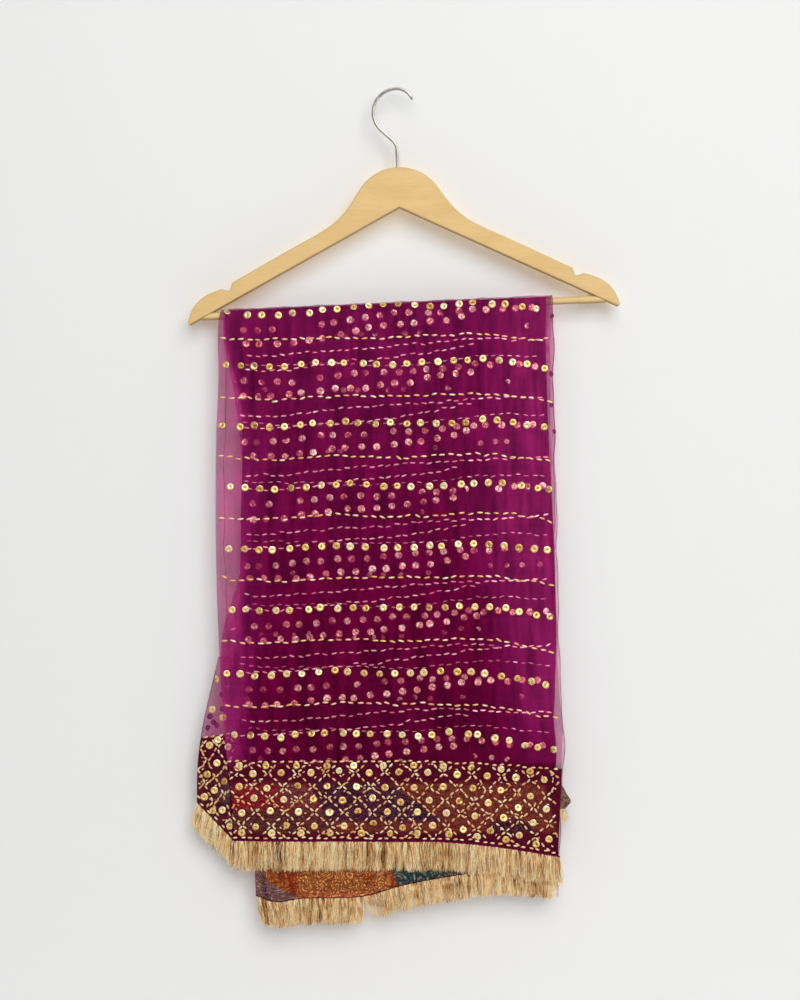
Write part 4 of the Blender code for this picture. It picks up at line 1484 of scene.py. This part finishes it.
GILT = (
    (0.0, (0.16, 0.06, 0.012)),
    (0.25, (0.62, 0.33, 0.08)),
    (0.55, (0.95, 0.62, 0.22)),
    (0.8, (1.0, 0.78, 0.40)),
    (1.0, (1.0, 0.93, 0.72)),
)
ROSY = (
    (0.0, (0.20, 0.02, 0.05)),
    (0.45, (0.52, 0.11, 0.12)),
    (0.75, (0.95, 0.36, 0.34)),
    (0.95, (1.0, 0.92, 0.84)),
)
DIM = (
    (0.0, (0.22, 0.02, 0.05)),
    (0.45, (0.56, 0.10, 0.13)),
    (0.75, (0.95, 0.32, 0.32)),
    (0.95, (1.0, 0.88, 0.80)),
)
THREAD = (
    (0.0, (0.42, 0.11, 0.030)),
    (0.35, (0.90, 0.42, 0.14)),
    (0.7, (1.0, 0.69, 0.35)),
    (1.0, (1.0, 0.92, 0.70)),
)
ROSY_THREAD = (
    (0.0, (0.34, 0.04, 0.09)),
    (0.5, (0.85, 0.22, 0.34)),
    (1.0, (1.0, 0.74, 0.78)),
)
FRINGE = (
    (0.0, (0.15, 0.056, 0.010)),
    (0.32, (0.60, 0.280, 0.078)),
    (0.57, (0.94, 0.57, 0.22)),
    (0.84, (1.0, 0.88, 0.56)),
)
BACKS = (
    (0.0, (0.030, 0.001, 0.014)),
    (1.0, (0.120, 0.010, 0.050)),
)
gilt = gilt_finish("gilt sequin film", GILT, 0.27, 0.45, 900.0, 0.12)
# Painted light: these hidden films and threads, and the fringe, glow in their own colour.
rosy_gilt = gilt_finish("gilt film under one leaf", ROSY, 0.36, 0.10, 1100.0, 0.15, 0.75)
dim_gilt = gilt_finish("gilt film under two leaves", DIM, 0.36, 0.10, 1100.0, 0.15, 1.0)
metal_thread = gilt_finish("metallic thread", THREAD, 0.34, 0.40, 2600.0, 0.5)
rosy_thread = gilt_finish("metallic thread under one leaf", ROSY_THREAD, 0.40, 0.10, 2600.0, 0.5, 0.7)
bright_thread = gilt_finish("metallic thread under two leaves", ROSY_THREAD, 0.40, 0.10, 2600.0, 0.5, 1.4)
fringe_thread = gilt_finish("gold fringe thread", FRINGE, 0.34, 0.15, 2200.0, 0.4, 0.05)
dull_back = gilt_finish("dull back of a sequin", BACKS, 0.6, 0.1, 700.0, 0.1)
print("eight gilt finishes")

# %% [markdown]
# ## Rows
# Rows of sequins and rows of running stitch take turns, some 31 mm apart. They were sewn by hand, so they
# wander. Towards the lower right they droop with the cloth. The rows on the flap and the base leaf are the
# same rows on other leaves, so they lie lower at the left, where the leaves have slipped, and come together
# at the right.

# %% Where the rows run
SEQUIN_ROWS = (0.2829, 0.3449, 0.4091, 0.4721, 0.5352, 0.6014, 0.6644)
STITCH_ROWS = (0.2560, 0.3170, 0.3791, 0.4401, 0.5042, 0.5683, 0.6334)
ROW_PITCH = 0.0632
LAST_BACK_RUN = 0.505
ROW_MARGIN = 0.002
SEQUIN_SPACING = 0.0157
SEQUIN_UNEVENNESS = 0.0013
STITCH_UNEVENNESS = 0.0005
BORDER_STITCH_SPACING = 0.0078
DROOP = 0.0125
DROOP_DOWN = 0.48
DROOP_HEIGHT = 0.18
DROOP_ALONG = 0.045
DROOP_WIDTH = 0.12
SWAY_STRENGTHS = (1.1, 0.45)
SWAY_DOWN = 0.22
SWAY_HEIGHT = 0.45
ROW_WANDER = 0.0007
FRONT_WAVES = (28, 55)
BACK_WANDER = 0.0022
BACK_WAVES = (18, 40)
top_row = curve(
    (
        Line(-0.1730, 0.2286), Line(-0.1500, 0.2322), Line(-0.1137, 0.2319), Line(-0.0689, 0.2278),
        Line(-0.0341, 0.2233), Line(0.0130, 0.2226), Line(0.0438, 0.2234), Line(0.0850, 0.2206),
        Line(0.1223, 0.2239), Line(0.1540, 0.2284),
    ),
    "along", "down",
)
sway = curve(
    (
        Drift(-0.180, 0.0010), Drift(-0.155, 0.0026), Drift(-0.120, 0.0032), Drift(-0.090, 0.0008),
        Drift(-0.060, -0.0010), Drift(-0.020, 0.0), Drift(0.025, -0.0006), Drift(0.055, -0.0022),
        Drift(0.082, -0.0040), Drift(0.105, -0.0034), Drift(0.132, 0.0006), Drift(0.152, 0.0046),
        Drift(0.165, 0.0064),
    ),
    "along", "drop",
)
flap_slip = curve(
    (
        Drift(-0.165, 0.0312), Drift(-0.100, 0.0295), Drift(-0.050, 0.0262), Drift(0.000, 0.0208),
        Drift(0.040, 0.0158), Drift(0.070, 0.0120), Drift(0.105, 0.0065),
    ),
    "along", "drop",
)
base_slip = curve(
    (
        Drift(-0.165, 0.0172), Drift(-0.099, 0.0152), Drift(-0.048, 0.0125), Drift(0.004, 0.0082),
        Drift(0.060, 0.0062), Drift(0.105, 0.0048), Drift(0.135, 0.0), Drift(0.165, -0.0070),
    ),
    "along", "drop",
)
core_slip = curve((Drift(-0.160, 0.0240), Drift(0.020, 0.0280), Drift(0.160, 0.0150)), "along", "drop")


def row_path(row_down, along, chance):
    """The depth of a row at each place along it, with its own small wander."""
    lower = np.clip((row_down - SWAY_DOWN) / SWAY_HEIGHT, 0, 1)
    strength = mix(*SWAY_STRENGTHS, lower) * chance.uniform(0.8, 1.2)
    phase, wave = chance.uniform(0, FULL_TURN), chance.uniform(*FRONT_WAVES)
    droop = DROOP * np.clip((row_down - DROOP_DOWN) / DROOP_HEIGHT, 0, 1)
    droop = droop * smooth_step((along - DROOP_ALONG) / DROOP_WIDTH)
    return row_down + sway(along) * strength + droop + ROW_WANDER * np.sin(along * wave + phase)


def spaced(first, last, spacing, unevenness, chance):
    """Places along a row, as unevenly spaced as hand work."""
    start = first + chance.uniform(0.15, 0.8) * spacing
    places = np.arange(start, last - 0.25 * spacing, spacing)
    return places + chance.normal(0, unevenness, len(places))


def front_row(leaf, path, near_down, spacing, unevenness, slip, chance):
    """Places (along, run) of one row on the front of a leaf."""
    left, right = leaf.edges["front"]
    first, last = left(near_down) + ROW_MARGIN, right(near_down) - ROW_MARGIN
    along = spaced(first, last, spacing, unevenness, chance)
    down = path(along) + (slip(along) if slip else 0) + chance.normal(0, ROW_WANDER, len(along))
    return along, leaf.run_at(along, down)


def back_row(leaf, run, spacing, unevenness, chance):
    """Places (along, run) of one row on the back of a leaf."""
    left, right = leaf.edges["back"]
    down = bar_down(0.0) + run
    along = spaced(left(down) + ROW_MARGIN, right(down) - ROW_MARGIN, spacing, unevenness, chance)
    phase, wave = chance.uniform(0, FULL_TURN), chance.uniform(*BACK_WAVES)
    wander = BACK_WANDER * np.sin(along * wave + phase) + chance.normal(0, STITCH_UNEVENNESS, len(along))
    return along, -(run + wander)


def rows_on(leaf, front_downs, first_back_run, spacing, unevenness, slip, seed):
    """All the rows of one kind on a leaf, in front and behind, as (along, run) pairs."""
    chance = np.random.default_rng(seed)
    rows = []
    for row_down in front_downs:
        path = lambda along, row_down=row_down: row_path(row_down, along, chance)
        rows.append(front_row(leaf, path, row_down, spacing, unevenness, slip, chance))
    run = first_back_run
    while run < LAST_BACK_RUN:
        rows.append(back_row(leaf, run, spacing, unevenness, chance))
        run += ROW_PITCH
    return rows


def row_angles(rows, unevenness, chance):
    """The angle of each stitch against the leaf's across direction."""
    angles = []
    for along, run in rows:
        slope = np.gradient(run) / np.maximum(np.gradient(along), 0.004)
        angles.append(np.arctan(slope) + chance.normal(0, unevenness, len(along)))
    return np.concatenate(angles)


def joined_rows(rows):
    """Rows of two or three arrays, joined end to end into one array of each kind."""
    return [np.concatenate(part) for part in zip(*rows)]


# %% Sew the rows
Trim = namedtuple(
    "Trim",
    "name leaf slip gilt thread seed first_sequins first_stitches kept "
    "shape sequin_size stitch_size spacing grit hole",
)
TRIMS = (
    Trim("outer", OUTER, None, gilt, metal_thread, 11, 0.0570, 0.0255, 1.0,
         sequin_shape, (1.0, 1.0), (0.98, 1.15), 0.0091, 0.12, HOLE_SHADE),
    Trim("flap", FLAP, flap_slip, rosy_gilt, rosy_thread, 23, 0.0400, 0.0720, 1.0,
         pressed_shape, (0.97, 0.97), (0.88, 0.84), 0.0085, 0.34, 0),
    Trim("base", BASE, base_slip, dim_gilt, bright_thread, 37, 0.0470, 0.0150, 0.97,
         pressed_shape, (0.94, 0.94), (0.88, 0.84), 0.0085, 0.34, 0),
    Trim("core", CORE, core_slip, dim_gilt, bright_thread, 53, 0.0520, 0.0200, 0.35,
         pressed_shape, (0.75, 0.75), (0.8, 0.6), 0.0085, 0.30, 0),
)
BARE_LEFT = -0.1585
DIM_LEFT = 0.26
DIM_WIDTH = 0.075
TOP_ROW_DOWN = 0.25
SEQUIN_LIFT = 0.0001
STITCH_LIFT = 0.0003


def sewn_at(trim, along, run):
    """True where a leaf is sewn: the hidden leaves are bare along the fold at the front left."""
    return (along > BARE_LEFT) | (run < 0) | (trim.leaf is OUTER)


sewn = {}
for trim in TRIMS:
    chance = np.random.default_rng(trim.seed + 2)
    sequin_run = (SEQUIN_SPACING, SEQUIN_UNEVENNESS, trim.slip)
    rows = rows_on(trim.leaf, SEQUIN_ROWS, trim.first_sequins, *sequin_run, trim.seed)
    rows.append(front_row(trim.leaf, top_row, TOP_ROW_DOWN, *sequin_run, chance))
    along, run = joined_rows(rows)
    keep = (chance.uniform(0, 1, len(along)) < trim.kept) & sewn_at(trim, along, run)
    along, run = along[keep], run[keep]
    dim = DIM_LEFT * (trim.leaf is not OUTER) * (1 - smooth_step((along - BARE_LEFT) / DIM_WIDTH))
    sewn[trim.name + "_sequins"] = sew_on(
        "sequins_" + trim.name, trim.shape, axes_of(trim.leaf.point, along, run), trim.gilt,
        lift=SEQUIN_LIFT, size=trim.sequin_size, grit=trim.grit, hole=trim.hole, dim=dim[:, None],
        seed=trim.seed,
    )
    stitch_run = (trim.spacing, STITCH_UNEVENNESS, trim.slip)
    rows = rows_on(trim.leaf, STITCH_ROWS, trim.first_stitches, *stitch_run, trim.seed + 1)
    spin = row_angles(rows, 0.14, chance)
    along, run = joined_rows(rows)
    keep = sewn_at(trim, along, run)
    along, run, spin = along[keep], run[keep], spin[keep]
    sewn[trim.name + "_stitches"] = sew_on(
        "stitches_" + trim.name, stitch_shape, axes_of(trim.leaf.point, along, run), trim.thread, spin=spin,
        lift=STITCH_LIFT, size=trim.stitch_size, tilt=0.05, grit=0.16, hole=0, seed=trim.seed + 3,
    )

# %% [markdown]
# ## The lattice
# Each border is worked over with a diamond lattice: three stitches to a side, and a sequin in every diamond.
# Short ends and knots of the thread stand about between them. The lattice is laid out in shares of the
# border's height, so it follows the hem wherever that goes, and then each place is handed to the leaf that
# carries it.

# %% Lay out and sew the lattice
Band = namedtuple("Band", "left right top hem start period shear")
LATTICE_ROWS = (0.03, 0.19, 0.367, 0.525, 0.684, 0.861, 1.02)
HALF_ROWS = (0.10, 0.95)
BORDER_STITCH_ROWS = (0.04, 1.0)
STITCH_PLACES = (0.17, 0.50, 0.83)
LOOSE_ENDS = 760
LATTICE_SEQUIN_MARGIN = 0.003
LATTICE_STITCH_MARGIN = 0.0015
LATTICE_STITCH_LIMITS = (0.06, 0.965)


def band_row(band, share, odd, step):
    """Sequin places along one row of the lattice."""
    near = mix(band.hem(band.start), band.top(band.start), share)
    first = band.start - band.shear * step + odd * band.period / 2
    count = math.ceil((first - band.left(near)) / band.period) + 1
    return np.arange(first - count * band.period, band.right(near) + band.period, band.period)


def in_band(band, along, share, margin):
    """The places inside a border's sides, how far down they are, and which of the given ones they are."""
    down = mix(band.hem(along), band.top(along), share)
    inside = (along > band.left(down) + margin) & (along < band.right(down) - margin)
    return along[inside], down[inside], inside


def lattice(band, seed):
    """Sequins (along, down) and stitches (along, down, angle) of a border's lattice."""
    chance = np.random.default_rng(seed)
    sequins, stitches = [], []
    for step, share in enumerate(LATTICE_ROWS[:-1]):
        along = band_row(band, share, (step + 1) % 2, step)
        if step:
            shares = share + chance.normal(0, 0.012, len(along))
            place = along + chance.normal(0, 0.0007, len(along))
            placed, down, _ = in_band(band, place, shares, LATTICE_SEQUIN_MARGIN)
            sequins.append((placed, down))
        rise = LATTICE_ROWS[step + 1] - share
        for side in (-1, 1):
            for part in STITCH_PLACES:
                place = along + side * band.period / 2 * (1 - part) + chance.normal(0, 0.0005, len(along))
                shares = share + rise * part + chance.normal(0, 0.008, len(along))
                placed, down, inside = in_band(band, place, shares, LATTICE_STITCH_MARGIN)
                highest, lowest = LATTICE_STITCH_LIMITS
                fits = (shares[inside] > highest) & (shares[inside] < lowest)
                height = (band.hem(placed) - band.top(placed))[fits]
                angle = np.arctan2(-rise * height, -side * band.period / 2)
                stitches.append((placed[fits], down[fits], angle + chance.normal(0, 0.16, len(angle))))
    for share in HALF_ROWS:
        along = band_row(band, share, 1, 0 if share < 0.5 else 5)
        place = along + chance.normal(0, 0.001, len(along))
        placed, down, _ = in_band(band, place, share, LATTICE_SEQUIN_MARGIN)
        sequins.append((placed, down))
    for share in BORDER_STITCH_ROWS:
        near = mix(band.hem(band.start), band.top(band.start), share)
        along = spaced(band.left(near), band.right(near), BORDER_STITCH_SPACING, STITCH_UNEVENNESS, chance)
        placed, down, _ = in_band(band, along, share, 0.0)
        angle = np.arctan(np.gradient(down) / np.gradient(placed)) + chance.normal(0, 0.12, len(placed))
        stitches.append((placed, down + chance.normal(0, 0.0004, len(placed)), angle))
    return joined_rows(sequins), joined_rows(stitches)


front_band = Band(outer_left, outer_right, band_top, front_hem, -0.1427, 0.0301, 0.0010)
inner_band = Band(core_left, core_right, moved(inner_hem, -0.0815), inner_hem, -0.1380, 0.0301, 0.0)
pleat_band = Band(pleat_left, level(-0.1660), pleat_band_top, pleat_hem, -0.1800, 0.0190, -0.0012)


def sew_lattice(name, band, axes_at, sequin_finish, stitch_finish, seed):
    sequins, stitches = lattice(band, seed)
    sewn[name + "_lattice_sequins"] = sew_on(
        "sequins_" + name, sequin_shape, axes_at(*sequins), sequin_finish, lift=SEQUIN_LIFT, seed=seed
    )
    along, down, angle = stitches
    sewn[name + "_lattice_stitches"] = sew_on(
        "stitches_" + name, stitch_shape, axes_at(along, down), stitch_finish, spin=angle, lift=STITCH_LIFT,
        size=(0.74, 1.16), tilt=0.06, grit=0.18, hole=0, seed=seed + 1,
    )
    chance = np.random.default_rng(seed + 2)
    first, last = along.min(), along.max()
    place = chance.uniform(first, last, int(LOOSE_ENDS * (last - first)))
    place, down, _ = in_band(band, place, chance.uniform(0.06, 0.97, len(place)), LATTICE_STITCH_MARGIN)
    sewn[name + "_loose_ends"] = sew_on(
        "loose_ends_" + name, stitch_shape, axes_at(place, down), metal_thread,
        spin=chance.normal(0, 0.7, len(place)), size=(0.44, 0.85), tilt=0.2, grit=0.25, hole=0, seed=seed + 3,
    )


def turned_over(places):
    """The same places, seen from the cloth's other side."""
    points, across, lower, outwards = places
    return points, -across, lower, -outwards


def on_outer(along, down):
    return axes_of(OUTER.point, along, OUTER.run_at(along, down))


def behind_core(along, down):
    return turned_over(axes_of(CORE.point, along, CORE.run_at(along, down)))


def on_pleat(along, down):
    return axes_of(pleat_point, along, down)


sew_lattice("border", front_band, on_outer, gilt, metal_thread, 61)
sew_lattice("inner_end", inner_band, behind_core, gilt, metal_thread, 67)
sew_lattice("pleat", pleat_band, on_pleat, gilt, metal_thread, 71)

# %% [markdown]
# ## Sequins seen from behind
# Where only one or two leaves hang, the turned side of a few sequins shows through as a dark spot: on the
# flared pleat, and along the narrow sheer strip at the right.

# %% Dark backs
Spot = namedtuple("Spot", "along down")
PLEAT_BACKS = (
    Spot(-0.1799, 0.6242), Spot(-0.1925, 0.6470), Spot(-0.1885, 0.6530), Spot(-0.1945, 0.6590),
    Spot(-0.1850, 0.6560), Spot(-0.1795, 0.6390),
)
PLEAT_GILT = (Spot(-0.1897, 0.6396), Spot(-0.1784, 0.6479), Spot(-0.1850, 0.6085))
STRIP_BACKS = (Spot(0.1609, 0.2340), Spot(0.1600, 0.2935), Spot(0.1602, 0.3255), Spot(0.1630, 0.3530))


def places_of(table):
    return np.array([spot.along for spot in table]), np.array([spot.down for spot in table])


def behind(places, by):
    points, across, lower, outwards = places
    return points - by * outwards, across, lower, outwards


sewn["pleat_backs"] = sew_on(
    "sequin_backs_pleat", sequin_shape, behind(on_pleat(*places_of(PLEAT_BACKS)), 0.0012), dull_back,
    size=(0.8, 0.8), tilt=0.3, seed=81,
)
sewn["pleat_gilt"] = sew_on(
    "sequins_pleat_loose", sequin_shape, on_pleat(*places_of(PLEAT_GILT)), gilt, seed=83
)
sewn["strip_backs"] = sew_on(
    "sequin_backs_strip", sequin_shape, behind(on_outer(*places_of(STRIP_BACKS)), 0.0009), dull_back,
    size=(0.55, 0.75), tilt=0.2, seed=85,
)

# %% [markdown]
# ## The fringe
# The fringe is a run of loose metallic threads, each a flat gilt strip. One is modelled as a narrow grid, cut
# across into five. Copies hang from the hem in thin layers. They gather in small clumps that lean together,
# their lengths differ a little, and each bows, thins towards its tip and twists, so that it gleams unevenly.

# %% Model one thread
THREAD_HALF_WIDTH = 0.00021
CLUMP_SHARE = 0.055
THREAD_ROWS = 5
LENGTH_SPREAD = 0.045
CLUMP_LENGTH_SPREAD = 0.03
BOW = 0.0014
BOW_OUT = 0.0005
THREAD_CURL = 0.0007
CLUMP_CURL = 0.0009
TAPER = 0.4
THREAD_WIDTHS = (0.8, 1.25)
MIDDLE_SHADE = 0.57


def one_thread():
    """A strip from (-1, 0) to (1, 1) in its own plane."""
    bpy.ops.object.select_all(action="DESELECT")
    bpy.ops.mesh.primitive_grid_add(x_subdivisions=1, y_subdivisions=THREAD_ROWS, size=2)
    bpy.ops.object.mode_set(mode="EDIT")
    bpy.ops.mesh.select_all(action="SELECT")
    bpy.ops.transform.translate(value=(0, 1, 0))
    bpy.ops.transform.resize(value=(1, 0.5, 1), center_override=(0, 0, 0))
    bpy.ops.object.mode_set(mode="OBJECT")
    return take_mesh(bpy.context.object)


thread_shape = one_thread()
Fringe = namedtuple("Fringe", "name count axes_at lengths leans spread layers seed")


def hang_fringe(fringe):
    """Threads hung from a hem. Lengths and leans are those at its left and at its right end."""
    chance = np.random.default_rng(fringe.seed)
    count = fringe.count
    share = np.sort(chance.uniform(0, 1, count))
    roots, across, _, outwards = fringe.axes_at(share)
    clump = np.cumsum(chance.uniform(0, 1, count) < CLUMP_SHARE)
    clumps = clump.max() + 1
    clump_lean = chance.normal(0, fringe.spread, clumps)[clump]
    clump_middle = np.array([roots[clump == number, 0].mean() for number in range(clumps)])[clump]
    gather = (clump_middle - roots[:, 0]) * chance.uniform(-0.1, 0.45, count)
    lean = clump_lean + chance.normal(0, fringe.spread * 0.55, count)
    uneven = 1 + chance.normal(0, LENGTH_SPREAD, count)
    uneven = uneven + chance.normal(0, CLUMP_LENGTH_SPREAD, clumps)[clump]
    length = mix(*fringe.lengths, share) * uneven
    layer = chance.uniform(-1, 1, count) * fringe.layers
    roots = roots + outwards * (layer * 0.5)[:, None]
    sideways = length * (lean + mix(*fringe.leans, share)) + gather
    fall = np.sqrt(np.maximum(length**2 - sideways**2, 0))
    tips = roots + across * sideways[:, None] + outwards * (layer * 0.8)[:, None]
    tips[:, 2] -= fall
    bow = across * chance.normal(0, BOW, (count, 1))
    bow = bow + outwards * chance.normal(0, BOW_OUT, (count, 1))
    local, faces = thread_shape
    along = local[:, 1]
    lines = roots[:, None] * (1 - along)[None, :, None] + tips[:, None] * along[None, :, None]
    lines = lines + bow[:, None] * (4 * along * (1 - along))[None, :, None]
    wave = chance.uniform(5, 9, (clumps, 1))[clump] * along
    wave = wave + chance.uniform(0, FULL_TURN, (clumps, 1))[clump]
    curl = chance.normal(0, CLUMP_CURL, (clumps, 1))[clump] + chance.normal(0, THREAD_CURL, (count, 1))
    lines = lines + across[:, None] * (curl * np.sin(wave) * along)[:, :, None]
    twist = chance.normal(0, 0.55, (count, 1)) + chance.normal(0, 1.1, (count, 1)) * along
    sides = np.cos(twist)[:, :, None] * across[:, None] + np.sin(twist)[:, :, None] * outwards[:, None]
    tapering = THREAD_HALF_WIDTH * (1 - TAPER * along)[None, :, None]
    half_width = tapering * chance.uniform(*THREAD_WIDTHS, (count, 1, 1))
    spots = lines + half_width * local[None, :, 0, None] * sides
    shade = MIDDLE_SHADE + chance.normal(0, 0.26, clumps)[clump] + chance.normal(0, 0.30, count)
    # Painted shade: threads in the back layers and near the roots, under the hem, are darker, and they grow
    # lighter towards the tips.
    shade = shade + 0.10 * layer / fringe.layers + 0.08 * np.sin(roots[:, 0] * 70 + 1.8)
    shade = np.clip(shade[:, None] - 0.14 + 0.30 * along[None, :] + 0.22 * np.sin(wave * 1.3), 0, 1)
    return joined_copies(fringe.name, spots, faces, shade, fringe_thread)


def pleat_roots(share):
    """Places along the pleat's hem, where the threads spread straight to left and right."""
    axes = along_pleat_hem(-0.2056, -0.1674)(share)
    return axes._replace(across=np.tile((1.0, 0.0, 0.0), (len(share), 1)))


FRINGES = (
    Fringe("fringe_threads_front", 6400, along_hem(OUTER, front_hem, -0.1655, 0.1685),
           (0.0288, 0.0288), (0.0, 0.0), 0.060, 0.0013, 91),
    Fringe("fringe_threads_pleat", 950, pleat_roots,
           (0.0235, 0.0275), (-0.20, 0.0), 0.07, 0.0010, 93),
    Fringe("fringe_threads_inner_left", 2200, along_hem(INNER_FACE, inner_hem, -0.1425, -0.0365),
           (0.0260, 0.0260), (0.12, 0.0), 0.10, 0.0012, 95),
    Fringe("fringe_threads_inner_gap", 190, along_hem(INNER_FACE, inner_hem, -0.0370, -0.0060),
           (0.0235, 0.0270), (0.05, 0.25), 0.16, 0.0010, 97),
    Fringe("fringe_threads_inner_right", 3300, along_hem(INNER_FACE, inner_hem, -0.0110, 0.1635),
           (0.0250, 0.0232), (0.10, 0.04), 0.08, 0.0012, 99),
    Fringe("fringe_threads_corner", 150, along_hem(CORNER, level(0.7425), 0.1640, 0.1740),
           (0.0130, 0.0130), (0.0, 0.5), 0.24, 0.0010, 101),
)
fringes = {fringe.name: hang_fringe(fringe) for fringe in FRINGES}

# %% [markdown]
# ## Put it together
# Every piece rides on the one body. The cloth pieces stand for the imported cloth solids, which are hidden.

# %% Ride and replace
def settle(slot, *pieces):
    for piece in pieces:
        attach(piece, BODY)


settle("organza", stole_outer, stole_flap, stole_core, stole_pleat)
settle("organza", *rolls)
settle("brocade", border_backing, inner_backing, corner_piece, pleat_backing)
settle("organza", *sewn.values())
settle("fringe", *fringes.values())
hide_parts("front_fall", "back_fall")
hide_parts("folded_leaves", "inner_end")
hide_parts("left_pleat")
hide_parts("front_border")
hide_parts("inner_border")
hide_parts("right_corner")
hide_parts("fringe_front")
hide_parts("fringe_pleat")
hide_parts("fringe_inner_left")
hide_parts("fringe_inner_right")
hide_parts("fringe_corner")
